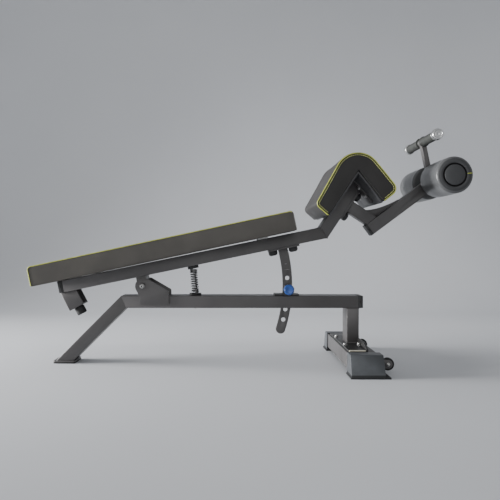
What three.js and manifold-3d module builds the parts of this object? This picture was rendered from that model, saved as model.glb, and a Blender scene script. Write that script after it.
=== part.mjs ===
// Adjustable decline bench (roman chair): a long flat pad and an inverted-V knee pad on a tilting frame,
// twin foam ankle rollers with a T handle, and a fixed base with an arc adjuster and a pull pin.
//
// Millimetres, +Z up. +X runs from the head end of the bench to the roller end, and the width is along Y.
// The origin is on the floor, under the middle of the bench.
// "near" pieces are on the -Y side, where the pull pin is, and "far" pieces are on the +Y side.

import * as THREE from 'three';
import { mergeVertices } from 'three/addons/utils/BufferGeometryUtils.js';
import Module from 'manifold-3d';

const wasm = await Module();
wasm.setup();

const { degToRad } = THREE.MathUtils;

// ---------------------------------------------------------------- driving dimensions

const GAP = 0.3; // clearance kept between pieces that touch
const LONG = 600; // reach of a cutting block

const TUBE_WIDTH = 100; // main tube, laid flat: width along Y
const TUBE_HEIGHT = 50;
const TUBE_WALL = 3;
const TUBE_CORNER = 3.5;

const PIVOT_X = -413.5; // tilt axis of the bench
const PIVOT_Z = 318;
const BENCH_ANGLE = degToRad(11.65); // bench tube above the horizontal, at rest
const PAD_ANGLE = degToRad(12); // bench pad above the horizontal, at rest

const BEAM_TOP = 277;
const BEAM_BOTTOM = BEAM_TOP - TUBE_HEIGHT;
const BEAM_CORNER_X = -502.5; // top corner where the beam meets the front leg
const BEAM_END_X = 490.5;
const BEAM_CAP = 20;

const FRONT_FOOT_START_X = -780.5;
const FRONT_FOOT_END_X = -690;
const FRONT_PAD_TOP = 5;
const FRONT_PLATE_TOP = 11.5;

const POST_X = 449; // middle of the upright post
const CROSS_WIDTH = 112;
const CROSS_BOTTOM = 17;
const CROSS_TOP = 77;
const CROSS_HALF = 290; // half of the crossbeam's length
const BASE_PLATE_TOP = 85;

const ARC_RADIUS = 598; // pitch radius of the adjuster holes, about the pivot
const ARC_HALF_WIDTH = 20;
const ARC_THICKNESS = 8;
const HOLE_RADIUS = 9;
const HOLE_STEP = degToRad(4.2);
const HOLES_ABOVE_PIN = 1;
const HOLES_BELOW_PIN = 3;
const PIN_ANGLE = degToRad(-1.3); // of the pull pin, about the pivot
const PIN_RADIUS = 8;
const PIN_TIP_Y = -4.8; // pin pulled just clear of the arc plate

const BENCH_TUBE_V = 64; // middle of the bench tube above the pivot, square to the tube
const BENCH_TUBE_START = -321;
const BEND_U = 773; // bend between the bench tube and the knee tube, along the bench tube
const KNEE_TUBE_TURN = degToRad(45);

const PAD_LENGTH = 1076.5;
const PAD_START = -417.5;
const PAD_WIDTH = 300;
const PAD_BOTTOM_V = 91.2;
const PAD_THICKNESS = 82.5;

const KNEE_PAD_WIDTH = 400;
const KNEE_APEX = { s: 260, t: 37 }; // inner apex of the knee pad, along and square to the knee tube
const KNEE_SLOPE = degToRad(-107.6); // direction of the knee pad's outer limb, from the knee tube's

const LEG_WIDTH = 50;
const LEG_TURN = degToRad(25); // leg tube above the bench tube
const AXLE_U = 1269.4;
const AXLE_V = 179.7;
const LEG_REACH = 344; // from the leg tube's lower end to the axle

const ROLLER_RADIUS = 70;
const ROLLER_INNER = 50;
const ROLLER_OUTER = 256;
const AXLE_RADIUS = 15;

const HANDLE_U = 1259;
const HANDLE_V = 349;
const HANDLE_BAR_RADIUS = 14;
const HANDLE_HALF = 200;

const WHEEL_X = 544.5;
const WHEEL_Z = 34;
const WHEEL_Y = 233;
const WHEEL_RADIUS = 24;
const WHEEL_WIDTH = 20;

const SPRING_U = 215;
const SPRING_FOOT_X = -200;
const SPRING_FOOT_Z = 286;

// ---------------------------------------------------------------- materials

const finish = (color, roughness, metalness) =>
  new THREE.MeshStandardMaterial({ color, roughness, metalness });

const paint = finish(0x3d3c3c, 0.5, 0.35);
const vinyl = finish(0x34332f, 0.55, 0);
const rollerVinyl = finish(0x3b3b3d, 0.45, 0);
const rubber = finish(0x1f1e1f, 0.8, 0);
const gripRubber = finish(0x6c706c, 0.75, 0);
const blackPlastic = finish(0x242425, 0.5, 0);
const footPlastic = finish(0x4c5058, 0.5, 0);
const steel = finish(0xb9bab8, 0.3, 0.9);
const darkSteel = finish(0x59585a, 0.4, 0.8);
const aluminium = finish(0xc6c8c9, 0.25, 0.9);
const bluePlastic = finish(0x355796, 0.4, 0);
const board = finish(0x77777a, 0.7, 0);

// ---------------------------------------------------------------- solids

/** The Manifold solid of a closed geometry. */
function solidOf(geometry) {
  const bare = geometry.clone();
  bare.deleteAttribute('normal');
  bare.deleteAttribute('uv');
  const merged = mergeVertices(bare, 1e-4);
  return new wasm.Manifold(
    new wasm.Mesh({
      numProp: 3,
      vertProperties: new Float32Array(merged.attributes.position.array),
      triVerts: new Uint32Array(merged.index.array),
    }),
  );
}

/** The geometry of a Manifold solid. */
function geometryOf(solid) {
  const mesh = solid.getMesh();
  const geometry = new THREE.BufferGeometry();
  geometry.setAttribute('position', new THREE.BufferAttribute(mesh.vertProperties, 3));
  geometry.setIndex(new THREE.BufferAttribute(mesh.triVerts, 1));
  geometry.computeVertexNormals();
  return geometry;
}

function cut(geometry, ...tools) {
  return geometryOf(tools.reduce((rest, tool) => rest.subtract(solidOf(tool)), solidOf(geometry)));
}

function join(geometry, ...others) {
  return geometryOf(others.reduce((whole, other) => whole.add(solidOf(other)), solidOf(geometry)));
}

/** A box from its lowest to its highest corner. */
function boxBetween([x0, y0, z0], [x1, y1, z1]) {
  const box = new THREE.BoxGeometry(x1 - x0, y1 - y0, z1 - z0);
  return box.translate((x0 + x1) / 2, (y0 + y1) / 2, (z0 + z1) / 2);
}

/** A block that removes everything beyond a plane through (x, z), whose outward normal is at an angle. */
function beyond(x, z, angle) {
  const block = new THREE.BoxGeometry(LONG, LONG, LONG).translate(LONG / 2, 0, 0);
  return block.rotateY(-angle).translate(x, 0, z);
}

/** A shape drawn in the XZ plane, given a width along Y. */
function acrossY(shape, width, middle = 0, curveSegments = 8) {
  const geometry = new THREE.ExtrudeGeometry(shape, { depth: width, bevelEnabled: false, curveSegments });
  return geometry.rotateX(Math.PI / 2).translate(0, middle + width / 2, 0);
}

/** A cylinder along Y. */
function rodAlongY(radius, y0, y1, x = 0, z = 0, segments = 24) {
  const rod = new THREE.CylinderGeometry(radius, radius, y1 - y0, segments);
  return rod.translate(x, (y0 + y1) / 2, z);
}

/** A turned piece about the Y axis, from [radius, y] points that close on themselves or on the axis. */
function turned(points, segments = 24) {
  const profile = points.map(([radius, y]) => new THREE.Vector2(radius, y));
  return new THREE.LatheGeometry([...profile, profile[0].clone()], segments);
}

/** The mirror image of [radius, y] points about y = 0, in the order that keeps the faces outwards. */
const mirrored = (points) => points.map(([radius, y]) => [radius, -y]).reverse();

/** A closed outline of [x, y, radius] corners, each rounded by its own radius. */
function roundedOutline(corners) {
  const shape = new THREE.Shape();
  corners.forEach(([x, y, radius], i) => {
    const corner = new THREE.Vector2(x, y);
    const [px, py] = corners.at(i - 1);
    const [nx, ny] = corners[(i + 1) % corners.length];
    const back = new THREE.Vector2(px, py).sub(corner).normalize();
    const ahead = new THREE.Vector2(nx, ny).sub(corner).normalize();
    const half = Math.acos(THREE.MathUtils.clamp(back.dot(ahead), -1, 1)) / 2;
    const reach = radius / Math.tan(half);
    const start = corner.clone().addScaledVector(back, reach);
    const end = corner.clone().addScaledVector(ahead, reach);
    const middle = back.clone().add(ahead).normalize();
    const centre = corner.clone().addScaledVector(middle, radius / Math.sin(half));
    const clockwise = back.cross(ahead) > 0;
    if (i === 0) shape.moveTo(start.x, start.y);
    else shape.lineTo(start.x, start.y);
    if (radius > 0) {
      const from = Math.atan2(start.y - centre.y, start.x - centre.x);
      const to = Math.atan2(end.y - centre.y, end.x - centre.x);
      shape.absarc(centre.x, centre.y, radius, from, to, clockwise);
    }
  });
  return shape;
}

function roundedRectangle(width, height, radius) {
  const [x, y] = [width / 2, height / 2];
  return roundedOutline([[-x, -y, radius], [x, -y, radius], [x, y, radius], [-x, y, radius]]);
}

const SECTION_BASIS = new THREE.Matrix4().makeBasis(
  new THREE.Vector3(0, 1, 0),
  new THREE.Vector3(0, 0, 1),
  new THREE.Vector3(1, 0, 0),
);

/** A bar along X from x0 to x1, with a rounded rectangular section about Y = 0, Z = 0. */
function barAlongX(x0, x1, width, height, corner = TUBE_CORNER) {
  const section = roundedRectangle(width, height, corner);
  const options = { depth: x1 - x0, bevelEnabled: false, curveSegments: 3 };
  return new THREE.ExtrudeGeometry(section, options).applyMatrix4(SECTION_BASIS).translate(x0, 0, 0);
}

/** The straight-cornered space inside such a bar. */
function coreAlongX(x0, x1, width, height, wall = TUBE_WALL) {
  const [y, z] = [width / 2 - wall, height / 2 - wall];
  return boxBetween([x0, -y, -z], [x1, y, z]);
}

/** A hollow rectangular tube along X, open at both ends. */
function tubeAlongX(x0, x1, width = TUBE_WIDTH, height = TUBE_HEIGHT) {
  return cut(barAlongX(x0, x1, width, height), coreAlongX(x0 - 1, x1 + 1, width, height));
}

// ---------------------------------------------------------------- scene graph

const bench = new THREE.Group(); // u along the bench tube, v square to it, about the pivot
bench.position.set(PIVOT_X, 0, PIVOT_Z);
bench.rotation.y = -BENCH_ANGLE;

const pads = new THREE.Group(); // the bench pad, which lies a little steeper than the tube
pads.rotation.y = -(PAD_ANGLE - BENCH_ANGLE);

const knee = new THREE.Group(); // s along the knee tube, t square to it, about the bend
knee.position.set(BEND_U, 0, BENCH_TUBE_V);
knee.rotation.y = -KNEE_TUBE_TURN;

const leg = new THREE.Group(); // along the leg tube, about the roller axle
leg.position.set(AXLE_U, 0, AXLE_V);
leg.rotation.y = -LEG_TURN;

const base = new THREE.Group();
const machine = new THREE.Group();
machine.add(base, bench);
bench.add(pads, knee, leg);

function add(group, name, geometry, material) {
  const mesh = new THREE.Mesh(geometry, material);
  mesh.name = name;
  group.add(mesh);
  return mesh;
}

/** The same piece on both sides: build gets -1 for near and +1 for far. */
function addPair(group, name, material, build) {
  add(group, `${name}_near`, build(-1), material);
  add(group, `${name}_far`, build(1), material);
}

// ---------------------------------------------------------------- base: front leg and beam

function frontFoot() {
  const length = FRONT_FOOT_END_X - FRONT_FOOT_START_X;
  const middle = (FRONT_FOOT_END_X + FRONT_FOOT_START_X) / 2;
  const slab = (width, height, bottom) => {
    const outline = roundedRectangle(length, width, 8);
    const options = { depth: height, bevelEnabled: false, curveSegments: 3 };
    return new THREE.ExtrudeGeometry(outline, options).translate(middle, 0, bottom);
  };
  add(base, 'front_foot_pad', slab(TUBE_WIDTH + 6, FRONT_PAD_TOP, 0), rubber);
  const plate = slab(TUBE_WIDTH + 6, FRONT_PLATE_TOP - FRONT_PAD_TOP - GAP, FRONT_PAD_TOP + GAP);
  add(base, 'front_foot_plate', plate, paint);
}

function frontLeg() {
  const down = degToRad(-135);
  const mitre = degToRad(22.5);
  const leg45 = tubeAlongX(-60, 460)
    .translate(0, 0, TUBE_HEIGHT / 2)
    .rotateY(-down)
    .translate(BEAM_CORNER_X, 0, BEAM_TOP);
  const atBeam = beyond(BEAM_CORNER_X - GAP / 2, BEAM_TOP, mitre);
  const atFoot = beyond(BEAM_CORNER_X, FRONT_PLATE_TOP + GAP, degToRad(-90));
  add(base, 'front_leg', cut(leg45, atBeam, atFoot.translate(-200, 0, 0)), paint);
}

/** Opening through the beam's top and bottom walls, or through the guide plate, for the arc plate. */
function arcSlot(z0, z1) {
  const inner = PIVOT_X + ARC_RADIUS - ARC_HALF_WIDTH - 14;
  const outer = PIVOT_X + ARC_RADIUS + ARC_HALF_WIDTH + 8;
  return boxBetween([inner, -7, z0], [outer, 7, z1]);
}

function baseBeam() {
  const mitre = degToRad(22.5);
  const middle = (BEAM_TOP + BEAM_BOTTOM) / 2;
  const tube = tubeAlongX(BEAM_CORNER_X - 60, BEAM_END_X - BEAM_CAP).translate(0, 0, middle);
  const atLeg = beyond(BEAM_CORNER_X + GAP / 2, BEAM_TOP, mitre + Math.PI);
  add(base, 'base_beam', cut(tube, atLeg, arcSlot(BEAM_BOTTOM - 1, BEAM_TOP + 1)), paint);

  const cap = barAlongX(BEAM_END_X - BEAM_CAP + GAP, BEAM_END_X, TUBE_WIDTH, TUBE_HEIGHT);
  add(base, 'base_beam_cap', cap.translate(0, 0, middle), blackPlastic);
}

// ---------------------------------------------------------------- base: pivot and adjuster

const PIVOT_PLATE = 8;
const PIVOT_BOLT_RADIUS = 7.5;

function pivotPlate(side) {
  const outline = roundedOutline([
    [-29.5, 29, 28],
    [22, 29, 10],
    [107, -20.5, 8],
    [109, -78, 4],
    [-10, -78, 4],
    [-11, -45, 8],
    [-29.5, -8, 14],
  ]);
  const middle = side * (TUBE_WIDTH / 2 + GAP + PIVOT_PLATE / 2);
  const plate = acrossY(outline, PIVOT_PLATE, middle, 5);
  const bore = rodAlongY(PIVOT_BOLT_RADIUS + GAP, middle - 10, middle + 10);
  return cut(plate, bore).translate(PIVOT_X, 0, PIVOT_Z);
}

function pivotBolt() {
  const shank = TUBE_WIDTH / 2 + GAP + PIVOT_PLATE + GAP;
  const bolt = turned([
    [0, -shank - 7],
    [8, -shank - 7],
    [10.5, -shank - 5],
    [10.5, -shank],
    [PIVOT_BOLT_RADIUS, -shank],
    [PIVOT_BOLT_RADIUS, shank],
    [12, shank],
    [12, shank + 8],
    [0, shank + 8],
  ]);
  add(base, 'pivot_bolt', bolt.translate(PIVOT_X, 0, PIVOT_Z), steel);
}

const PIN_X = PIVOT_X + ARC_RADIUS * Math.cos(PIN_ANGLE);
const PIN_Z = PIVOT_Z + ARC_RADIUS * Math.sin(PIN_ANGLE);

function pinBracket() {
  const bottom = BEAM_TOP + GAP;
  const plate = boxBetween([PIN_X - 56, -40, bottom], [PIN_X + 45, 40, bottom + 6]);
  const nearCheek = boxBetween([PIN_X - 15, -46, bottom], [PIN_X + 15, -8, PIN_Z + 15]);
  const farCheek = boxBetween([PIN_X - 15, 8, bottom], [PIN_X + 15, 22, PIN_Z + 15]);
  const bore = rodAlongY(PIN_RADIUS + GAP, -50, 16, PIN_X, PIN_Z);
  const bracket = cut(join(plate, nearCheek, farCheek), bore, arcSlot(bottom - 1, bottom + 7));
  add(base, 'pin_bracket', bracket, paint);
}

function pullPin() {
  const shoulder = -66;
  const pin = turned([
    [0, shoulder + GAP],
    [PIN_RADIUS, shoulder + GAP],
    [PIN_RADIUS, PIN_TIP_Y - 2],
    [PIN_RADIUS - 2, PIN_TIP_Y],
    [0, PIN_TIP_Y],
  ]);
  add(base, 'pull_pin', pin.translate(PIN_X, 0, PIN_Z), steel);

  const knob = turned([
    [0, shoulder - 26],
    [14, shoulder - 26],
    [19.5, shoulder - 24],
    [21.5, shoulder - 19],
    [21.5, shoulder - 7],
    [18, shoulder - 3],
    [12, shoulder],
    [0, shoulder],
  ], 32);
  add(base, 'pin_knob', knob.translate(PIN_X, 0, PIN_Z), bluePlastic);
}

// ---------------------------------------------------------------- base: post, crossbeam, feet and wheels

function post() {
  const tube = tubeAlongX(BASE_PLATE_TOP + GAP, BEAM_BOTTOM - GAP);
  add(base, 'upright_post', tube.rotateY(-Math.PI / 2).translate(POST_X, 0, 0), paint);

  const plate = boxBetween([POST_X - 50.5, -221, CROSS_TOP + GAP], [POST_X + 25, 221, BASE_PLATE_TOP]);
  const gusset = (side) => {
    const inner = TUBE_WIDTH / 2 + GAP;
    const top = BASE_PLATE_TOP + 20;
    const outline = roundedOutline([[inner, 80, 0], [221, 80, 0], [221, 88, 3], [168, top, 46], [inner, top, 0]]);
    const web = new THREE.ExtrudeGeometry(outline, { depth: 6, bevelEnabled: false, curveSegments: 5 });
    web.applyMatrix4(SECTION_BASIS).translate(POST_X + 19, 0, 0);
    return side < 0 ? web.rotateZ(Math.PI).translate(2 * POST_X + 44, 0, 0) : web;
  };
  add(base, 'post_base_plate', join(plate, gusset(-1), gusset(1)), paint);
}

function crossbeam() {
  const middle = (CROSS_TOP + CROSS_BOTTOM) / 2;
  const tube = tubeAlongX(-CROSS_HALF, CROSS_HALF, CROSS_WIDTH, CROSS_TOP - CROSS_BOTTOM);
  add(base, 'cross_beam', tube.rotateZ(Math.PI / 2).translate(POST_X - 1, 0, middle), paint);
}

/** Moulded foot that sleeves over one end of the crossbeam, with a sloping face and a wide sole. */
function crossFoot(side) {
  const inner = 250;
  const topOuter = 312;
  const bottomOuter = 345;
  const soleOuter = 349;
  const top = 81.5;
  const body = roundedOutline([
    [inner, 4, 0],
    [bottomOuter, 4, 0],
    [topOuter, top, 4],
    [inner, top, 2],
  ]);
  const [start, end] = [POST_X - 65, POST_X + 81.5];
  const block = new THREE.ExtrudeGeometry(body, { depth: end - start, bevelEnabled: false, curveSegments: 3 });
  block.applyMatrix4(SECTION_BASIS).translate(start, 0, 0);
  const walls = [
    beyond(POST_X - 60, top, Math.PI - degToRad(1)),
    beyond(POST_X + 61, top, degToRad(2)),
  ].map((wall) => wall.translate(0, 300, 0));
  const sole = boxBetween([start, inner, 0], [end, soleOuter, 6]);
  const clearance = 2 * GAP;
  const socket = coreAlongX(0, CROSS_HALF + GAP, CROSS_WIDTH + clearance, CROSS_TOP - CROSS_BOTTOM + clearance, 0);
  socket.rotateZ(Math.PI / 2).translate(POST_X - 1, 0, (CROSS_TOP + CROSS_BOTTOM) / 2);
  const foot = cut(join(cut(block, ...walls), sole), socket);
  return side > 0 ? foot : mirrorY(foot);
}

/** The mirror image of a geometry across the XZ plane, with its faces still outwards. */
function mirrorY(geometry) {
  return geometryOf(solidOf(geometry).mirror([0, 1, 0]));
}

/** Fork for a transport wheel, with its axle in one piece, on the roller side of the crossbeam. */
function wheelFork(side) {
  const back = POST_X - 1 + CROSS_WIDTH / 2 + GAP;
  const thickness = 3;
  const earOffset = WHEEL_WIDTH / 2 + 1 + thickness / 2;
  const ear = roundedOutline([
    [back, WHEEL_Z - 14, 0],
    [WHEEL_X + 16, WHEEL_Z - 16, 15.9],
    [WHEEL_X + 16, WHEEL_Z + 16, 15.9],
    [back, WHEEL_Z + 20, 0],
  ]);
  const middle = side * WHEEL_Y;
  const ears = [-1, 1].map((s) => acrossY(ear, thickness, middle + s * earOffset, 6));
  const reach = earOffset + thickness / 2;
  const web = boxBetween([back, middle - reach, WHEEL_Z - 14], [back + thickness, middle + reach, WHEEL_Z + 20]);
  const axle = rodAlongY(5, middle - reach - 2, middle + reach + 2, WHEEL_X, WHEEL_Z, 16);
  return join(web, ...ears, axle);
}

function wheel(side) {
  const half = WHEEL_WIDTH / 2;
  const profile = [
    [5.5, -half],
    [WHEEL_RADIUS - 4, -half],
    [WHEEL_RADIUS, -half + 4],
    [WHEEL_RADIUS, half - 4],
    [WHEEL_RADIUS - 4, half],
    [5.5, half],
  ];
  return turned(profile, 28).translate(WHEEL_X, side * WHEEL_Y, WHEEL_Z);
}

// ---------------------------------------------------------------- lift spring

const SPRING_COIL = 13.5;
const SPRING_WIRE = 2.4;
const SPRING_TURNS = 10;
const SPRING_SEAT_DEPTH = 12.5;

class Helix extends THREE.Curve {
  constructor(length) {
    super();
    this.length = length;
  }

  getPoint(at, target = new THREE.Vector3()) {
    const turn = 2 * Math.PI * SPRING_TURNS * at;
    return target.set(SPRING_COIL * Math.cos(turn), SPRING_COIL * Math.sin(turn), this.length * at);
  }
}

function liftSpring() {
  const bottom = new THREE.Vector3(SPRING_FOOT_X, 0, SPRING_FOOT_Z);
  const seat = new THREE.Vector3(SPRING_U, 0, BENCH_TUBE_V - TUBE_HEIGHT / 2 - SPRING_SEAT_DEPTH);
  const top = bench.localToWorld(seat);
  const axis = top.clone().sub(bottom);
  const clear = 2 * SPRING_WIRE + 2;
  const length = axis.length() - 2 * clear;
  const wire = new THREE.Shape().absarc(0, 0, SPRING_WIRE, 0, 2 * Math.PI, false);
  const coil = new THREE.ExtrudeGeometry(wire, {
    extrudePath: new Helix(length),
    steps: SPRING_TURNS * 12,
    curveSegments: 3,
    bevelEnabled: false,
  });
  coil.translate(0, 0, clear).rotateY(Math.atan2(axis.x, axis.z)).translate(bottom.x, 0, bottom.z);
  add(base, 'lift_spring', coil, darkSteel);

  const foot = new THREE.CylinderGeometry(25, 25, SPRING_FOOT_Z - BEAM_TOP - 2 * GAP, 24).rotateX(Math.PI / 2);
  const footMiddle = (SPRING_FOOT_Z + BEAM_TOP) / 2;
  add(base, 'spring_seat_lower', foot.translate(SPRING_FOOT_X, 0, footMiddle), blackPlastic);

  const cup = new THREE.CylinderGeometry(23, 23, SPRING_SEAT_DEPTH - 2 * GAP, 24).rotateX(Math.PI / 2);
  const cupMiddle = BENCH_TUBE_V - TUBE_HEIGHT / 2 - SPRING_SEAT_DEPTH / 2;
  add(bench, 'spring_seat_upper', cup.translate(SPRING_U, 0, cupMiddle), blackPlastic);
}

// ---------------------------------------------------------------- bench: tube, stop leg and pivot lug

const BEND_PLANE = KNEE_TUBE_TURN / 2;
const TUBE_UNDERSIDE = BENCH_TUBE_V - TUBE_HEIGHT / 2;
const TUBE_TOPSIDE = BENCH_TUBE_V + TUBE_HEIGHT / 2;

function benchTube() {
  const tube = tubeAlongX(BENCH_TUBE_START, BEND_U + 60).translate(0, 0, BENCH_TUBE_V);
  add(bench, 'bench_tube', cut(tube, beyond(BEND_U - GAP / 2, BENCH_TUBE_V, BEND_PLANE)), paint);

  const cap = barAlongX(BENCH_TUBE_START - BEAM_CAP, BENCH_TUBE_START - GAP, TUBE_WIDTH, TUBE_HEIGHT);
  add(bench, 'bench_tube_cap', cap.translate(0, 0, BENCH_TUBE_V), blackPlastic);
}

const STOP_ANGLE = degToRad(-74.15); // of the stop leg, from the bench tube
const STOP_U = -306; // where the stop leg's axis leaves the tube
const STOP_LENGTH = 73.4;

function stopLeg() {
  const [depth, width] = [66, 76];
  const place = (geometry) => geometry.rotateY(-STOP_ANGLE).translate(STOP_U, 0, TUBE_UNDERSIDE);
  const bar = place(barAlongX(-30, STOP_LENGTH, width, depth));
  const [inY, inZ] = [width / 2 - TUBE_WALL, depth / 2 - TUBE_WALL];
  const channel = place(boxBetween([-31, -inY, -inZ], [STOP_LENGTH - 4, inY, depth / 2 + 1]));
  const shortened = cut(bar, channel, beyond(STOP_U, TUBE_UNDERSIDE - GAP, Math.PI / 2));
  add(bench, 'stop_leg', shortened, paint);

  const length = 33;
  const bumper = turned([
    [0, 0],
    [17, 0],
    [21, 3],
    [21, length - 3],
    [18, length],
    [0, length],
  ]);
  const start = STOP_LENGTH + GAP;
  add(bench, 'stop_bumper', place(bumper.rotateZ(-Math.PI / 2).translate(start, 0, 0)), rubber);
}

function pivotLug() {
  const half = TUBE_WIDTH / 2 - 1;
  const sleeve = rodAlongY(20, -half, half, 0, 0, 32);
  const web = boxBetween([-20, -half, 0], [20, half, TUBE_UNDERSIDE - GAP]);
  const bore = rodAlongY(PIVOT_BOLT_RADIUS + GAP, -half - 5, half + 5);
  add(bench, 'pivot_lug', cut(join(sleeve, web), bore), paint);
}

// ---------------------------------------------------------------- bench: arc adjuster

const FLANGE_THICKNESS = 8;
const FLANGE_CAP_LENGTH = 19;

/** Domed cap over a flange bolt, hanging from z = 0 down. */
function boltCap(radius, length) {
  const dome = turned([
    [0, 0],
    [radius, 0],
    [radius, length - 8],
    [radius - 3, length - 2.5],
    [radius - 9, length],
    [0, length],
  ]);
  return dome.rotateX(-Math.PI / 2);
}

function arcPlate() {
  const inner = ARC_RADIUS - ARC_HALF_WIDTH;
  const outer = ARC_RADIUS + ARC_HALF_WIDTH;
  const top = degToRad(8);
  const bottom = PIN_ANGLE - BENCH_ANGLE - (HOLES_BELOW_PIN + 0.92) * HOLE_STEP;
  const endX = ARC_RADIUS * Math.cos(bottom);
  const endZ = ARC_RADIUS * Math.sin(bottom);
  const outline = new THREE.Shape()
    .absarc(0, 0, outer, bottom, top, false)
    .absarc(0, 0, inner, top, bottom, true)
    .absarc(endX, endZ, ARC_HALF_WIDTH, bottom - Math.PI, bottom, false);
  const plate = acrossY(outline, ARC_THICKNESS, 0, 16);
  const holes = [];
  for (let step = HOLES_ABOVE_PIN; step >= -HOLES_BELOW_PIN; step -= 1) {
    const angle = PIN_ANGLE - BENCH_ANGLE + step * HOLE_STEP;
    const [x, z] = [ARC_RADIUS * Math.cos(angle), ARC_RADIUS * Math.sin(angle)];
    holes.push(rodAlongY(HOLE_RADIUS, -10, 10, x, z, 20));
  }
  const flangeBottom = TUBE_UNDERSIDE - GAP - FLANGE_THICKNESS;
  const aboveFlange = boxBetween([0, -20, flangeBottom - GAP], [800, 20, 200]);
  add(bench, 'arc_plate', cut(plate, ...holes, aboveFlange), paint);

  const middle = Math.sqrt(ARC_RADIUS ** 2 - flangeBottom ** 2);
  const flange = boxBetween([middle - 62, -40, flangeBottom], [middle + 68, 40, TUBE_UNDERSIDE - GAP]);
  add(bench, 'arc_flange', flange, paint);
  [['rear', -43], ['front', 43]].forEach(([end, offset]) => {
    const cap = boltCap(19, FLANGE_CAP_LENGTH).translate(middle + offset, 0, flangeBottom - GAP);
    add(bench, `arc_bolt_cap_${end}`, cap, blackPlastic);
  });
}

// ---------------------------------------------------------------- bench: flat pad

const BOARD_THICKNESS = 12;
const BOARD_INSET = 14;
const BOARD_RECESS = 3; // how far the board is set up into the pad

function benchPad() {
  const end = PAD_START + PAD_LENGTH;
  const top = PAD_BOTTOM_V + PAD_THICKNESS;
  const profile = roundedOutline([
    [PAD_START, PAD_BOTTOM_V, 3],
    [end, PAD_BOTTOM_V, 3],
    [end, top, 16],
    [PAD_START, top, 16],
  ]);
  const boardBottom = PAD_BOTTOM_V + BOARD_RECESS;
  const boardTop = boardBottom + BOARD_THICKNESS;
  const [boardStart, boardEnd] = [PAD_START + BOARD_INSET, end - BOARD_INSET];
  const boardHalf = PAD_WIDTH / 2 - BOARD_INSET;
  const pocket = boxBetween(
    [boardStart - GAP, -boardHalf - GAP, 0],
    [boardEnd + GAP, boardHalf + GAP, boardTop + GAP],
  );
  add(pads, 'bench_pad', cut(acrossY(profile, PAD_WIDTH), pocket), vinyl);
  const boardSolid = boxBetween(
    [boardStart, -boardHalf, boardBottom],
    [boardEnd, boardHalf, boardTop],
  );
  add(pads, 'bench_pad_board', boardSolid, board);
}

/** Flat steel strips that carry the pad board on the tube; the front one is thicker. */
function padBrackets() {
  const slope = Math.tan(PAD_ANGLE - BENCH_ANGLE);
  [['rear', -200], ['front', 520]].forEach(([end, u]) => {
    const boardBottom = (PAD_BOTTOM_V + BOARD_RECESS) / Math.cos(PAD_ANGLE - BENCH_ANGLE) + slope * (u - 20);
    const strip = boxBetween([u - 20, -110, TUBE_TOPSIDE + GAP], [u + 20, 110, boardBottom - GAP]);
    add(bench, `pad_bracket_${end}`, strip, steel);
  });
}

// ---------------------------------------------------------------- bench: knee tube and knee pad

const KNEE_STRIP = { board: [0.3, 6.9], bracket: [7.2, 11.7] }; // distances inside the pad's inner faces
const INNER_LIMB = new THREE.Vector2(Math.cos(KNEE_SLOPE), Math.sin(KNEE_SLOPE));
const INNER_NORMAL = new THREE.Vector2(INNER_LIMB.y, -INNER_LIMB.x); // from the outer limb into the vee

/** The vee's inner corner, moved inwards by a distance from both faces. */
function kneeApex(distance) {
  const t = KNEE_APEX.t - distance;
  const foot = new THREE.Vector2(KNEE_APEX.s, KNEE_APEX.t).addScaledVector(INNER_NORMAL, distance);
  return foot.addScaledVector(INNER_LIMB, (t - foot.y) / INNER_LIMB.y);
}

/** A bent strip that follows the inside of the vee, between two distances from it. */
function kneeStrip([near, far], start, limb, width) {
  const outer = kneeApex(near);
  const inner = kneeApex(far);
  const along = (apex, length) => apex.clone().addScaledVector(INNER_LIMB, length);
  const points = [
    new THREE.Vector2(start, outer.y),
    outer,
    along(outer, limb),
    along(inner, limb - (far - near)),
    inner,
    new THREE.Vector2(start, inner.y),
  ];
  return acrossY(new THREE.Shape(points), width);
}

function kneePad() {
  const limb = (length, outwards) => {
    const foot = new THREE.Vector2(KNEE_APEX.s, KNEE_APEX.t).addScaledVector(INNER_LIMB, length);
    return foot.addScaledVector(INNER_NORMAL, -outwards).toArray();
  };
  const outline = roundedOutline([
    [47, KNEE_APEX.t, 4],
    [KNEE_APEX.s, KNEE_APEX.t, 0],
    [...limb(157, 0), 6],
    [...limb(157, 76), 30],
    [369, 128, 92],
    [56, 105, 23],
  ]);
  add(knee, 'knee_pad', acrossY(outline, KNEE_PAD_WIDTH, 0, 10), vinyl);
  add(knee, 'knee_pad_board', kneeStrip(KNEE_STRIP.board, 54, 153, KNEE_PAD_WIDTH - 24), board);
  add(knee, 'knee_pad_bracket', kneeStrip(KNEE_STRIP.bracket, 90, 130, 150), paint);
}

function kneeTube() {
  const end = kneeApex(KNEE_STRIP.bracket[1] + GAP);
  const tube = tubeAlongX(-60, KNEE_APEX.s + 20);
  const atBend = beyond(GAP / 2, 0, Math.PI - BEND_PLANE);
  const atTop = beyond(end.x, end.y, KNEE_SLOPE + Math.PI / 2);
  add(knee, 'knee_tube', cut(tube, atBend, atTop), paint);
}

// ---------------------------------------------------------------- bench: leg carriage, rollers and handle

const LEG_FLANGE_S = 156;
const LEG_BRACKET_S = 152;
const LEG_CAP = 12;

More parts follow.
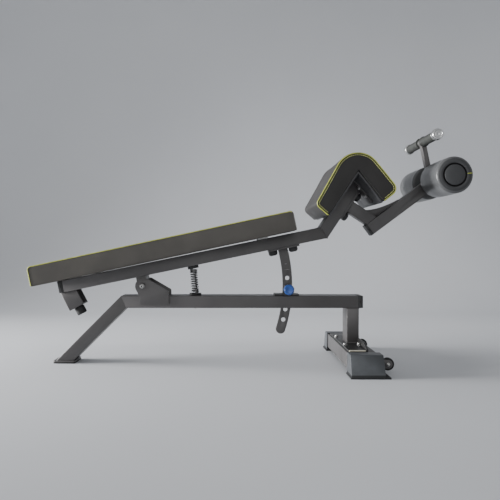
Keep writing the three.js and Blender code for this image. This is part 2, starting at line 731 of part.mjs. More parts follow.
function legCarriage() {
  const flangeTop = -TUBE_HEIGHT / 2 - GAP;
  const flangeBottom = flangeTop - FLANGE_THICKNESS;
  const flange = boxBetween([LEG_FLANGE_S - 66, -40, flangeBottom], [LEG_FLANGE_S + 66, 40, flangeTop]);
  add(knee, 'leg_flange', flange, paint);
  [['lower', -47.5], ['upper', 47.5]].forEach(([end, offset]) => {
    const cap = boltCap(18, FLANGE_CAP_LENGTH).translate(LEG_FLANGE_S + offset, 0, flangeBottom - GAP);
    add(knee, `leg_bolt_cap_${end}`, cap, blackPlastic);
  });

  const axle = new THREE.Vector3(AXLE_U, 0, AXLE_V);
  bench.updateMatrixWorld(true);
  const axleInKnee = knee.worldToLocal(bench.localToWorld(axle));
  const legDirection = LEG_TURN - KNEE_TUBE_TURN;
  const upperFace = (s) => {
    const along = s - axleInKnee.x;
    return axleInKnee.z + along * Math.tan(legDirection) + TUBE_HEIGHT / 2 / Math.cos(legDirection);
  };
  const bracket = tubeAlongX(-flangeBottom + GAP, 220, LEG_WIDTH, TUBE_HEIGHT)
    .rotateY(Math.PI / 2)
    .translate(LEG_BRACKET_S, 0, 0);
  const atLeg = beyond(LEG_BRACKET_S, upperFace(LEG_BRACKET_S) + GAP, legDirection - Math.PI / 2);
  add(knee, 'leg_bracket_tube', cut(bracket, atLeg), paint);

  const corner = LEG_BRACKET_S + TUBE_HEIGHT / 2 + GAP;
  const tip = corner + 113;
  const lift = 2 * GAP;
  const gusset = new THREE.Shape();
  gusset.moveTo(corner, upperFace(corner) + lift);
  gusset.lineTo(tip, upperFace(tip) + lift);
  gusset.lineTo(tip, upperFace(tip) + lift + 3);
  gusset.quadraticCurveTo(corner + 34, upperFace(corner) + 4, corner, -96);
  gusset.closePath();
  add(knee, 'leg_gusset', acrossY(gusset, 6), paint);
}

function legTube() {
  const start = -LEG_REACH + LEG_CAP;
  const tip = 28;
  const bar = barAlongX(start + GAP, tip, LEG_WIDTH, TUBE_HEIGHT);
  const core = coreAlongX(start - 1, tip - TUBE_WALL, LEG_WIDTH, TUBE_HEIGHT);
  const bore = rodAlongY(AXLE_RADIUS + GAP, -60, 60);
  add(leg, 'leg_tube', cut(bar, core, bore), paint);
  add(leg, 'leg_tube_cap', barAlongX(-LEG_REACH, start, LEG_WIDTH, TUBE_HEIGHT), blackPlastic);
}

function rollerAxle() {
  const half = ROLLER_OUTER - 14;
  const [outer, inner] = [AXLE_RADIUS, AXLE_RADIUS - 3];
  const tube = turned([[inner, -half], [outer, -half], [outer, half], [inner, half]]);
  add(bench, 'roller_axle', tube.translate(AXLE_U, 0, AXLE_V), steel);
}

const ROLLER_CAP_RADIUS = 40;
const ROLLER_CAP_SEAT = 10;

function rollerFoam(side) {
  const bore = AXLE_RADIUS + 1;
  const edge = 9;
  const seat = ROLLER_OUTER - ROLLER_CAP_SEAT;
  const profile = [
    [bore, ROLLER_INNER],
    [ROLLER_RADIUS - 4, ROLLER_INNER],
    [ROLLER_RADIUS, ROLLER_INNER + 4],
    [ROLLER_RADIUS, ROLLER_OUTER - edge],
    [ROLLER_RADIUS - edge * 0.3, ROLLER_OUTER - edge * 0.3],
    [ROLLER_RADIUS - edge, ROLLER_OUTER],
    [ROLLER_CAP_RADIUS + 2, ROLLER_OUTER],
    [ROLLER_CAP_RADIUS + 2, seat],
    [bore, seat],
  ];
  return turned(side > 0 ? profile : mirrored(profile), 40).translate(AXLE_U, 0, AXLE_V);
}

function rollerCap(side) {
  const seat = ROLLER_OUTER - ROLLER_CAP_SEAT + GAP;
  const profile = [
    [0, seat],
    [ROLLER_CAP_RADIUS, seat],
    [ROLLER_CAP_RADIUS, ROLLER_OUTER - 2],
    [ROLLER_CAP_RADIUS - 3, ROLLER_OUTER + 1],
    [0, ROLLER_OUTER + 1],
  ];
  return turned(side > 0 ? profile : mirrored(profile), 32).translate(AXLE_U, 0, AXLE_V);
}

const GRIP_START = 22;
const GRIP_END = 172;

function handle() {
  const [halfDepth, halfWidth] = [10, 15];
  const block = boxBetween([-halfDepth, -halfWidth, -200], [halfDepth, halfWidth, 0]);
  const bore = boxBetween([-halfDepth + 2.5, -halfWidth + 2.5, -201], [halfDepth - 2.5, halfWidth - 2.5, -20]);
  const saddle = rodAlongY(HANDLE_BAR_RADIUS + GAP, -40, 40, 0, 0, 32);
  const legTopAt = AXLE_V - HANDLE_V + (HANDLE_U - AXLE_U) * Math.tan(LEG_TURN);
  const foot = legTopAt + TUBE_HEIGHT / 2 / Math.cos(LEG_TURN) + 2 * GAP;
  const atLeg = beyond(0, foot, LEG_TURN - Math.PI / 2);
  const stem = cut(block, bore, saddle, atLeg).translate(HANDLE_U, 0, HANDLE_V);
  add(bench, 'handle_post', stem, paint);

  const half = HANDLE_HALF - 10;
  const [outer, inner] = [HANDLE_BAR_RADIUS, HANDLE_BAR_RADIUS - 2.5];
  const bar = turned([[inner, -half], [outer, -half], [outer, half], [inner, half]]);
  add(bench, 'handle_bar', bar.translate(HANDLE_U, 0, HANDLE_V), steel);
}

function handleGrip(side) {
  const bore = HANDLE_BAR_RADIUS + GAP;
  const profile = [
    [bore, GRIP_START],
    [21, GRIP_START],
    [22, GRIP_START + 3],
    [18, GRIP_START + 6],
    [18, GRIP_END - 1],
    [bore, GRIP_END - 1],
  ];
  return turned(side > 0 ? profile : mirrored(profile)).translate(HANDLE_U, 0, HANDLE_V);
}

function handleCap(side) {
  const bore = HANDLE_BAR_RADIUS + GAP;
  const profile = [
    [bore, GRIP_END],
    [20, GRIP_END],
    [22, GRIP_END + 2],
    [22, HANDLE_HALF - 3],
    [19, HANDLE_HALF],
    [0, HANDLE_HALF],
    [0, HANDLE_HALF - 9],
    [bore, HANDLE_HALF - 9],
  ];
  return turned(side > 0 ? profile : mirrored(profile)).translate(HANDLE_U, 0, HANDLE_V);
}

// ---------------------------------------------------------------- assembly

machine.updateMatrixWorld(true);

frontFoot();
frontLeg();
baseBeam();
addPair(base, 'pivot_plate', paint, pivotPlate);
pivotBolt();
pinBracket();
pullPin();
post();
crossbeam();
addPair(base, 'cross_foot', footPlastic, crossFoot);
addPair(base, 'wheel_fork', paint, wheelFork);
addPair(base, 'wheel', rubber, wheel);
liftSpring();

benchTube();
stopLeg();
pivotLug();
arcPlate();
benchPad();
padBrackets();

kneeTube();
kneePad();
legCarriage();
legTube();
rollerAxle();
addPair(bench, 'roller', rollerVinyl, rollerFoam);
addPair(bench, 'roller_cap', blackPlastic, rollerCap);
handle();
addPair(bench, 'handle_grip', gripRubber, handleGrip);
addPair(bench, 'handle_cap', aluminium, handleCap);

export default machine;
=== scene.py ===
"""Adjustable decline bench (roman chair): the looks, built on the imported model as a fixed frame.

Metres, +Z up, +X towards the roller end, -Y towards the camera. "near" is the -Y side.
"""

import math

import bpy
import numpy as np
from mathutils import Matrix, Vector, noise


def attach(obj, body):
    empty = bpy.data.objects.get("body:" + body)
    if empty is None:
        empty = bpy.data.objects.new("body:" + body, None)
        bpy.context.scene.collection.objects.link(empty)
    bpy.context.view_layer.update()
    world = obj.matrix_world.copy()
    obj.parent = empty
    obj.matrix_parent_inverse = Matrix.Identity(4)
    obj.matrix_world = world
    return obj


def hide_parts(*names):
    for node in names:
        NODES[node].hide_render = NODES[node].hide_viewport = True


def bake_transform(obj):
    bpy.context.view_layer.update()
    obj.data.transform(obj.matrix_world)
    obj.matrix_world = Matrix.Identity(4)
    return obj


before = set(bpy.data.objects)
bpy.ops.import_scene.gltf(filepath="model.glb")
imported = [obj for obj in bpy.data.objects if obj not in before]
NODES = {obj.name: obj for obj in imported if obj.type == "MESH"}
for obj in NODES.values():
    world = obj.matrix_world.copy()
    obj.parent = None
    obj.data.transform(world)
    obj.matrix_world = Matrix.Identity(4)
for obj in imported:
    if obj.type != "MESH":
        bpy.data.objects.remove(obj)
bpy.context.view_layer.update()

MM = 0.001

# ---------------------------------------------------------------- frames and dimensions (mm)

PIVOT = (-413.5, 0, 318)
BENCH_ANGLE = 11.65
PAD_ANGLE = 12.0
BEAM_BOTTOM = 227
POST_X = 449
BASE_PLATE_TOP = 85
ARC_RADIUS = 598
ARC_FACE_Y = 4.05
PIN_X, PIN_Z = 184.3, 304.4
BEND_U = 773
BENCH_TUBE_V = 64
KNEE_TURN = 45
LEG_TURN = 25
LEG_REACH = 344
AXLE_U, AXLE_V = 1269.4, 179.7
HANDLE_U, HANDLE_V = 1259, 349
WHEEL_X, WHEEL_Z, WHEEL_Y = 544.5, 34, 233
SPRING_FOOT = (-200, 0, 286)
SPRING_SEAT_U, SPRING_SEAT_V = 215, 26.5


def turn_up(degrees):
    """Rotation about the Y axis that lifts +X towards +Z."""
    return Matrix.Rotation(-math.radians(degrees), 4, "Y")


def shift(x, y, z):
    return Matrix.Translation(Vector((x, y, z)) * MM)


BENCH = shift(*PIVOT) @ turn_up(BENCH_ANGLE)
PADS = shift(*PIVOT) @ turn_up(PAD_ANGLE)
KNEE = BENCH @ shift(BEND_U, 0, BENCH_TUBE_V) @ turn_up(KNEE_TURN)
LEG = BENCH @ shift(AXLE_U, 0, AXLE_V) @ turn_up(LEG_TURN)
AXLE = BENCH @ shift(AXLE_U, 0, AXLE_V)
HANDLE = BENCH @ shift(HANDLE_U, 0, HANDLE_V)
ROW = Matrix.Identity(4)


# ---------------------------------------------------------------- shader helpers

def srgb(hex_code):
    """Linear RGBA of an sRGB hex code."""
    channels = [int(hex_code[i : i + 2], 16) / 255 for i in (0, 2, 4)]
    linear = [c / 12.92 if c <= 0.04045 else ((c + 0.055) / 1.055) ** 2.4 for c in channels]
    return (*linear, 1.0)


class Shader:
    """A Principled material with short helpers for procedural detail in real units (metres)."""

    def __init__(self, name):
        self.material = bpy.data.materials.new(name)
        self.material.use_nodes = True
        self.tree = self.material.node_tree
        self.surface = self.tree.nodes["Principled BSDF"]
        self.where = self.node("ShaderNodeTexCoord").outputs["Object"]

    def node(self, kind, inputs=None, **settings):
        made = self.tree.nodes.new(kind)
        for name, value in settings.items():
            setattr(made, name, value)
        for name, value in (inputs or {}).items():
            self.feed(made.inputs[name], value)
        return made

    def feed(self, socket, value):
        if isinstance(value, bpy.types.NodeSocket):
            self.tree.links.new(value, socket)
        else:
            socket.default_value = value

    def stretched(self, x, y, z):
        """Object coordinates scaled per axis, for grain that runs one way."""
        return self.node("ShaderNodeMapping", {"Vector": self.where, "Scale": (x, y, z)}).outputs[0]

    def noise(self, scale, detail=3.0, roughness=0.55, where=None):
        inputs = {"Vector": where or self.where, "Scale": scale, "Detail": detail, "Roughness": roughness}
        return self.node("ShaderNodeTexNoise", inputs).outputs["Fac"]

    def cells(self, scale, where=None):
        inputs = {"Vector": where or self.where, "Scale": scale}
        return self.node("ShaderNodeTexVoronoi", inputs).outputs["Distance"]

    def span(self, value, low, high, start=0.0, end=1.0):
        """value from start..end mapped to low..high."""
        inputs = {"Value": value, "From Min": start, "From Max": end, "To Min": low, "To Max": high}
        return self.node("ShaderNodeMapRange", inputs).outputs["Result"]

    def patches(self, scale, detail, start=0.35, end=0.65):
        """0 to 1 in soft patches of noise."""
        return self.span(self.noise(scale, detail), 0, 1, start, end)

    def math(self, operation, a, b=0.0):
        made = self.node("ShaderNodeMath", operation=operation)
        self.feed(made.inputs[0], a)
        self.feed(made.inputs[1], b)
        return made.outputs[0]

    def mix(self, factor, a, b):
        made = self.node("ShaderNodeMix", data_type="RGBA")
        self.feed(made.inputs["Factor"], factor)
        self.feed(made.inputs[6], a)
        self.feed(made.inputs[7], b)
        return made.outputs[2]

    def axis(self, name):
        return self.node("ShaderNodeSeparateXYZ", {"Vector": self.where}).outputs[name]

    def bump(self, height, distance, strength=1.0, below=None):
        inputs = {"Height": height, "Distance": distance, "Strength": strength}
        if below is not None:
            inputs["Normal"] = below
        return self.node("ShaderNodeBump", inputs).outputs["Normal"]

    def edges(self, radius, samples=4):
        """0 on flat faces, towards 1 on convex and concave edges."""
        rounded = self.node("ShaderNodeBevel", {"Radius": radius}, samples=samples).outputs["Normal"]
        plain = self.node("ShaderNodeNewGeometry").outputs["Normal"]
        made = self.node("ShaderNodeVectorMath", operation="DOT_PRODUCT")
        self.feed(made.inputs[0], rounded)
        self.feed(made.inputs[1], plain)
        return self.span(made.outputs["Value"], 1.0, 0.0, 0.75, 0.99)

    def finish(self, **sockets):
        names = {"color": "Base Color", "rough": "Roughness", "metal": "Metallic", "normal": "Normal",
                 "coat": "Coat Weight", "coat_rough": "Coat Roughness", "specular": "Specular IOR Level"}
        for name, value in sockets.items():
            self.feed(self.surface.inputs[names[name]], value)
        return self.material


# ---------------------------------------------------------------- materials

def powder_coat(name, dark, light, rough=0.42):
    """Satin charcoal powder coat: orange peel, faint mottling, rubbed edges and light scuffs."""
    s = Shader(name)
    mottle = s.patches(9, 4)
    color = s.mix(mottle, srgb(dark), srgb(light))
    worn = s.math("MULTIPLY", s.edges(0.0012), s.patches(60, 3, 0.45, 0.7))
    color = s.mix(s.math("MULTIPLY", worn, 0.45), color, srgb("8b8b8c"))
    scuffs = s.span(s.noise(24, 5, 0.7, s.stretched(1, 1, 6)), 0, 1, 0.6, 0.75)
    color = s.mix(s.math("MULTIPLY", scuffs, 0.06), color, srgb("9a9a98"))
    roughness = s.math("ADD", s.span(s.noise(14, 3), rough - 0.06, rough + 0.06, 0.3, 0.7),
                       s.math("MULTIPLY", worn, -0.08))
    peel = s.bump(s.noise(620, 2), 0.00012, 0.35)
    grain = s.bump(s.noise(3200, 1), 0.00003, 0.4, peel)
    return s.finish(color=color, rough=roughness, normal=grain, specular=0.6)


def leather_grain(s, cell):
    """Pebbled vinyl grain: small cells with creases between them, over soft waves of the cover."""
    warp = s.noise(90, 2)
    moved = s.node("ShaderNodeVectorMath", operation="MULTIPLY_ADD")
    s.feed(moved.inputs[0], s.node("ShaderNodeCombineXYZ", {"X": warp, "Y": warp, "Z": warp}).outputs[0])
    s.feed(moved.inputs[1], (0.004, 0.004, 0.004))
    s.feed(moved.inputs[2], s.where)
    pebbles = s.cells(cell, where=moved.outputs[0])
    waves = s.bump(s.noise(26, 3), 0.0006, 0.35)
    return s.bump(pebbles, 0.00014, 0.55, waves), pebbles


def vinyl(name, dark, light, rough, cell=620, coat=0.0):
    """Soft upholstery vinyl with pebbled grain, painted shade a touch darker in the grain's hollows, and
    uneven gloss from use.
    """
    s = Shader(name)
    normal, pebbles = leather_grain(s, cell)
    color = s.mix(s.patches(7, 4), srgb(dark), srgb(light))
    # Painted shade: darker where the grain's height is low.
    color = s.mix(s.span(pebbles, 0.35, 0, 0.0, 0.5), color, srgb(dark))
    roughness = s.span(s.noise(5, 4), rough - 0.06, rough + 0.07, 0.3, 0.7)
    return s.finish(color=color, rough=roughness, normal=normal, coat=coat, coat_rough=0.3)


def piping_cover():
    """Yellow-green cord cover with a fine twill, with painted shade in its furrows."""
    s = Shader("piping_cover")
    twill = s.node("ShaderNodeTexWave", {"Vector": s.where, "Scale": 420.0, "Distortion": 0.6},
                   bands_direction="DIAGONAL").outputs["Fac"]
    color = s.mix(s.patches(45, 3, 0.35, 0.7), srgb("a3aa3c"), srgb("c6cc5a"))
    # Painted shade: darker where the twill is low.
    color = s.mix(s.span(twill, 0.25, 0), color, srgb("6a6f2a"))
    return s.finish(color=color, rough=0.5, normal=s.bump(twill, 0.00012, 0.5))


def stitch_thread():
    s = Shader("stitch_thread")
    plies = s.node("ShaderNodeTexWave", {"Vector": s.where, "Scale": 900.0}, bands_direction="DIAGONAL")
    color = s.mix(s.noise(120, 2), srgb("b9bd62"), srgb("dadd8c"))
    return s.finish(color=color, rough=0.6, normal=s.bump(plies.outputs["Fac"], 0.0001, 0.6))


def hard_rubber(name, dark, light):
    """Moulded rubber with fine pitting and chalky mottling."""
    s = Shader(name)
    color = s.mix(s.patches(35, 4, 0.35, 0.7), srgb(dark), srgb(light))
    pits = s.bump(s.noise(900, 2), 0.0001, 0.5)
    return s.finish(color=color, rough=s.span(s.noise(50, 3), 0.68, 0.88), normal=pits)


def grip_rubber():
    """Near-black handle grip, greyer where it is worn, with painted shade between its ribs; the ribs run
    round the bar.
    """
    s = Shader("grip_rubber")
    ribs = s.node("ShaderNodeTexWave", {"Vector": s.where, "Scale": 78.0}, bands_direction="Y",
                  wave_profile="SIN").outputs["Fac"]
    knurl = s.cells(900)
    # Painted shade: darker where the ribs are low.
    color = s.mix(s.span(ribs, 0, 1, 0.1, 0.5), srgb("1a1b1a"), srgb("292b29"))
    color = s.mix(s.span(s.noise(22, 3), 0, 0.3, 0.4, 0.7), color, srgb("4a4d49"))
    normal = s.bump(knurl, 0.00008, 0.4, s.bump(ribs, 0.0006, 0.7))
    return s.finish(color=color, rough=s.span(s.noise(40, 3), 0.55, 0.72), normal=normal)


def moulded_plastic(name, dark, light, rough=0.48):
    """Textured moulding with a spark-eroded grain and slightly polished edges."""
    s = Shader(name)
    color = s.mix(s.patches(18, 4), srgb(dark), srgb(light))
    polish = s.edges(0.001)
    color = s.mix(s.math("MULTIPLY", polish, 0.25), color, srgb("77787a"))
    roughness = s.math("ADD", s.span(s.noise(30, 3), rough - 0.05, rough + 0.06),
                       s.math("MULTIPLY", polish, -0.1))
    return s.finish(color=color, rough=roughness, normal=s.bump(s.noise(1400, 2), 0.00005, 0.6))


def foot_plastic():
    """Blue-grey foot moulding, painted black for shade inside its open inner end, over a darker rubber
    sole.
    """
    s = Shader("foot_plastic")
    body = s.mix(s.patches(16, 4), srgb("404346"), srgb("4a4d51"))
    # Painted shade: black inside the foot's open inner end, where it stands in shadow.
    painted_shade_inner_end = s.span(s.math("ABSOLUTE", s.axis("Y")), 1, 0, 0.2505, 0.2515)
    body = s.mix(painted_shade_inner_end, body, srgb("1a1b1d"))
    sole = s.mix(s.noise(60, 3), srgb("18191b"), srgb("232527"))
    height = s.axis("Z")
    is_body = s.span(height, 0, 1, 0.0125, 0.0135)
    color = s.mix(is_body, sole, body)
    polish = s.math("MULTIPLY", s.edges(0.0015), is_body)
    color = s.mix(s.math("MULTIPLY", polish, 0.3), color, srgb("8d939a"))
    grain = s.bump(s.noise(1200, 2), 0.00006, 0.6)
    return s.finish(color=color, rough=s.span(is_body, 0.75, 0.45), normal=grain)


def bare_metal(name, tint, rough, stretch):
    """Turned or drawn metal with fine directional lines and faint smudges."""
    s = Shader(name)
    lines = s.noise(900, 3, 0.6, s.stretched(*stretch))
    smudge = s.noise(28, 4)
    color = s.mix(s.span(smudge, 0, 1, 0.3, 0.75), srgb(tint), srgb("8f8f8e"))
    color = s.mix(s.span(lines, 0, 0.22, 0.4, 0.8), color, srgb("5d5d5e"))
    roughness = s.span(smudge, rough - 0.07, rough + 0.12, 0.3, 0.7)
    return s.finish(color=color, rough=roughness, metal=1.0, normal=s.bump(lines, 0.00004, 0.4))


def blue_knob():
    s = Shader("knob_blue")
    color = s.mix(s.patches(60, 4), srgb("204893"), srgb("2a59a9"))
    color = s.mix(s.math("MULTIPLY", s.edges(0.0008), 0.3), color, srgb("7fa3dc"))
    return s.finish(color=color, rough=s.span(s.noise(90, 3), 0.28, 0.42), coat=0.3,
                    normal=s.bump(s.noise(1500, 2), 0.00003, 0.5))


def backing_board():
    """Grey-painted plywood back board: long grain, tiny chips at the rim."""
    s = Shader("backing_board")
    grain = s.noise(110, 5, 0.65, s.stretched(0.12, 1, 1))
    color = s.mix(s.span(grain, 0, 1, 0.3, 0.7), srgb("3f3f41"), srgb("4d4d4f"))
    chips = s.math("MULTIPLY", s.edges(0.0015), s.patches(140, 3, 0.5, 0.65))
    color = s.mix(s.math("MULTIPLY", chips, 0.6), color, srgb("b39c77"))
    return s.finish(color=color, rough=s.span(grain, 0.36, 0.48), normal=s.bump(grain, 0.0002, 0.5))


def marking_ink():
    s = Shader("marking_ink")
    worn = s.patches(500, 4, 0.45, 0.6)
    return s.finish(color=s.mix(worn, srgb("68686a"), srgb("a9a9a8")), rough=0.6,
                    normal=s.bump(s.noise(2500, 2), 0.00003, 0.4))


def gap_shadow():
    """Painted shade: deep matt black inside slots and grooves, with a trace of dust."""
    s = Shader("gap_shadow")
    dust = s.span(s.noise(300, 3), 0, 0.4, 0.5, 0.8)
    color = s.mix(dust, srgb("0c0c0d"), srgb("2c2c2c"))
    return s.finish(color=color, rough=s.span(s.noise(200, 2), 0.8, 0.95))


PAINT = powder_coat("frame_paint", "4a4848", "525050")
# Painted shade: a darker copy of the frame paint for the base plate and pin bracket, standing for shade on
# them.
PLATE_PAINT_PAINTED_SHADE = powder_coat("plate_paint_painted_shade", "1d1c1c", "252424")
PAD_VINYL = vinyl("bench_vinyl", "413e3a", "4c4944", 0.5)
# Painted shade: a darker copy of the bench vinyl, standing for the weaker light on the knee pad.
KNEE_VINYL_PAINTED_SHADE = vinyl("knee_vinyl_painted_shade", "1c1a19", "242221", 0.54)
ROLLER_VINYL = vinyl("roller_vinyl", "4e4f50", "5b5c5d", 0.34, cell=900, coat=0.15)
# Painted shade: a darker copy of the roller vinyl, standing for shade on the rollers' end faces.
ROLLER_END_PAINTED_SHADE = vinyl("roller_end_vinyl", "37383a", "424345", 0.45, cell=900)
PIPING = piping_cover()
EDGE_STRIP = moulded_plastic("edge_strip", "c9c5b4", "dbd7c6", 0.5)
THREAD = stitch_thread()
RUBBER = hard_rubber("rubber", "1d1d1e", "2a2a2a")
GRIP = grip_rubber()
BLACK_PLASTIC = moulded_plastic("black_plastic", "242425", "2f2f30")
FOOT_PLASTIC = foot_plastic()
STEEL = bare_metal("steel", "e0e0de", 0.36, (8, 1, 8))
SPRING_STEEL = bare_metal("spring_steel", "8b8a8c", 0.38, (1, 1, 3))
ALUMINIUM = bare_metal("aluminium", "e6e7e7", 0.3, (1, 9, 1))
BLUE = blue_knob()
BOARD = backing_board()
INK = marking_ink()
GAP_PAINTED_SHADE = gap_shadow()

SLOT_MATERIALS = {
    "frame_paint": PAINT,
    "pad_vinyl": PAD_VINYL,
    "roller_vinyl": ROLLER_VINYL,
    "rubber": RUBBER,
    "grip_rubber": GRIP,
    "black_plastic": BLACK_PLASTIC,
    "foot_plastic": FOOT_PLASTIC,
    "steel": STEEL,
    "spring_steel": SPRING_STEEL,
    "aluminium": ALUMINIUM,
    "blue_plastic": BLUE,
    "board": BOARD,
}
# The base plate and pin bracket get the painted-shade copy of the frame paint.
NODE_MATERIALS = {"post_base_plate": PLATE_PAINT_PAINTED_SHADE, "pin_bracket": PLATE_PAINT_PAINTED_SHADE}


# ---------------------------------------------------------------- mesh helpers

def add_mesh(name, points, faces, material, place=ROW):
    """A mesh object at the origin, from points in millimetres in the frame of place."""
    mesh = bpy.data.meshes.new(name)
    mesh.from_pydata([place @ (Vector(p) * MM) for p in points], [], faces)
    mesh.validate()
    mesh.update()
    mesh.polygons.foreach_set("use_smooth", [True] * len(mesh.polygons))
    mesh.materials.append(material)
    made = bpy.data.objects.new(name, mesh)
    bpy.context.scene.collection.objects.link(made)
    return made


def soften(obj, width, angle=35):
    """Rounded edges for a hard piece, with flat faces kept flat in shading."""
    bevel = obj.modifiers.new("rounding", "BEVEL")
    bevel.width = width * MM
    bevel.segments = 2
    bevel.limit_method = "ANGLE"
    bevel.angle_limit = math.radians(angle)
    bevel.harden_normals = True
    return obj


class Solid:
    """Points and faces of several simple shapes, gathered into one piece; a tone picks its material."""

    def __init__(self):
        self.points = []
        self.faces = []
        self.tones = []

    def take(self, points, faces, tone=0):
        start = len(self.points)
        self.points += [tuple(p) for p in points]
        self.faces += [tuple(start + i for i in face) for face in faces]
        self.tones += [tone] * len(faces)

    def make(self, name, materials, body, place=ROW):
        materials = materials if isinstance(materials, (list, tuple)) else [materials]
        made = add_mesh(name, self.points, self.faces, materials[0], place)
        for extra in materials[1:]:
            made.data.materials.append(extra)
        if len(made.data.polygons) == len(self.tones):
            made.data.polygons.foreach_set("material_index", self.tones)
        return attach(made, body) if body else made


def frame_towards(direction):
    """Rotation whose local Z axis points along direction."""
    return Vector(direction).to_track_quat("Z", "Y").to_matrix()


def turned(profile, centre=(0, 0, 0), direction=(0, 0, 1), sides=32, flutes=0, depth=0.0):
    """Points and faces of a turned shape from (radius, height) points; closed where the radius is 0."""
    centre, turn = Vector(centre), frame_towards(direction)
    points, faces, rings = [], [], []
    for radius, height in profile:
        if radius < 1e-6:
            rings.append([len(points)])
            points.append(centre + turn @ Vector((0, 0, height)))
            continue
        ring = []
        for i in range(sides):
            angle = 2 * math.pi * i / sides
            r = radius - depth * (0.5 + 0.5 * math.cos(flutes * angle)) if flutes else radius
            ring.append(len(points))
            points.append(centre + turn @ Vector((r * math.cos(angle), r * math.sin(angle), height)))
        rings.append(ring)
    for low, high in zip(rings, rings[1:]):
        for i in range(sides):
            j = (i + 1) % sides
            if len(low) == 1 and len(high) > 1:
                faces.append((low[0], high[j], high[i]))
            elif len(high) == 1 and len(low) > 1:
                faces.append((low[i], low[j], high[0]))
            elif len(low) > 1:
                faces.append((low[i], low[j], high[j], high[i]))
    return points, faces


def swept(path, radius, sides=8, closed=False, ripple=0.0, pitch=1.0):
    """Points and faces of a round bead along a path; ripple gives it the scales of a weld."""
    path = [Vector(p) for p in path]
    count = len(path)
    points, faces, travelled = [], [], 0.0
    normal = None
    for i, p in enumerate(path):
        before = path[i - 1] if closed or i > 0 else p
        after = path[(i + 1) % count] if closed or i < count - 1 else p
        along = (after - before).normalized()
        if normal is None:
            normal = along.orthogonal().normalized()
        normal = (normal - along * normal.dot(along)).normalized()
        across = along.cross(normal)
        travelled += (p - path[i - 1]).length if i else 0.0
        r = radius * (1 + ripple * math.cos(2 * math.pi * travelled / pitch))
        for k in range(sides):
            angle = 2 * math.pi * k / sides
            points.append(p + normal * (r * math.cos(angle)) + across * (r * math.sin(angle)))
    for i in range(count if closed else count - 1):
        a, b = i * sides, ((i + 1) % count) * sides
        for k in range(sides):
            n = (k + 1) % sides
            faces.append((a + k, a + n, b + n, b + k))
    if not closed:
        faces.append(tuple(range(sides))[::-1])
        faces.append(tuple(range((count - 1) * sides, count * sides)))
    return points, faces


def line(start, end, step=1.5):
    """Evenly spaced points from start to end."""
    start, end = Vector(start), Vector(end)
    count = max(2, round((end - start).length / step))
    return [start.lerp(end, i / count) for i in range(count + 1)]


def route(*corners, step=1.5):
    """Evenly spaced points along straight runs between corners."""
    points = []
    for a, b in zip(corners, corners[1:]):
        points += line(a, b, step)[:-1]
    return points + [Vector(corners[-1])]


def spaced(points, count):
    """count + 1 points at even distances along a polyline."""
    points = np.array([tuple(p) for p in points], float)
    reach = np.concatenate([[0], np.cumsum(np.linalg.norm(np.diff(points, axis=0), axis=1))])
    at = np.linspace(0, reach[-1], count + 1)
    return np.stack([np.interp(at, reach, points[:, k]) for k in range(points.shape[1])], axis=1)


def hexagon_head(across, height, chamfer=0.8):
    """(radius, height) profile of a bolt head; used with 6 sides and a washer."""
    r = across / math.sqrt(3)
    return [(0, 0), (r, 0), (r, height - chamfer), (r - chamfer, height), (0, height)]


def add_bolt(solid, centre, direction, across=13, height=6, washer=11, socket=False):
    """A washer under a hexagon head, or under a round socket head with a hexagon recess painted black for
    shade.
    """
    centre, direction = Vector(centre), Vector(direction)
    thick = 1.7
    solid.take(*turned([(0, 0), (washer, 0), (washer, thick - 0.5), (washer - 0.6, thick), (0, thick)],
                       centre, direction, 28))
    top = centre + direction * thick
    if not socket:
        solid.take(*turned(hexagon_head(across, height), top, direction, 6))
        crown = [(0, height + 1.1), (across * 0.3, height + 0.7), (across * 0.44, height - 0.05)]
        solid.take(*turned(crown[::-1], top, direction, 24))
        return
    r = across / 2
    mouth = (r * 0.38, height - 0.4)
    head = [(0, 0), (r, 0), (r, height - 1), (r - 1, height), (r * 0.42, height), mouth]
    solid.take(*turned(head, top, direction, 32))
    # The recess is painted black for shade.
    solid.take(*turned([mouth, (r * 0.36, height - 3), (0, height - 3)], top, direction, 6), tone=1)


# ---------------------------------------------------------------- CAD nodes that are shown

def dress_cad_nodes():
    """Materials by slot, welded corners and a small rounding on every CAD node."""
    for node in NODES.values():
        slot = node.data.materials[0].name.split(".")[0]
        dress(node, NODE_MATERIALS.get(node.name, SLOT_MATERIALS[slot]))


def dress(obj, material):
    obj.data.materials.clear()
    obj.data.materials.append(material)
    obj.data.polygons.foreach_set("use_smooth", [True] * len(obj.data.polygons))
    obj.data.polygons.foreach_set("material_index", [0] * len(obj.data.polygons))
    weld = obj.modifiers.new("weld", "WELD")
    weld.merge_threshold = 0.00001
    flat = obj.modifiers.new("flat_faces", "DECIMATE")
    flat.decimate_type = "DISSOLVE"
    flat.angle_limit = math.radians(0.4)
    soften(obj, 0.7)


# ---------------------------------------------------------------- upholstery

def rounded_corners(corners, step=3.0):
    """Runs of points for an outline of (x, y, radius) corners: the arc points of each corner in turn."""
    arcs = []
    for i, (x, y, radius) in enumerate(corners):
        corner = Vector((x, y))
        back = (Vector(corners[i - 1][:2]) - corner).normalized()
        ahead = (Vector(corners[(i + 1) % len(corners)][:2]) - corner).normalized()
        if radius < 0.01:
            arcs.append([corner])
            continue
        half = math.acos(max(-1.0, min(1.0, back.dot(ahead)))) / 2
        reach = radius / math.tan(half)
        start, end = corner + back * reach, corner + ahead * reach
        centre = corner + (back + ahead).normalized() * (radius / math.sin(half))
        first = (start - centre).normalized()
        last = (end - centre).normalized()
        sweep = math.acos(max(-1.0, min(1.0, first.dot(last))))
        count = max(3, 2 * round(radius * sweep / step / 2) + 1)
        arcs.append([centre + first.slerp(last, k / (count - 1)) * radius for k in range(count)])
    return arcs


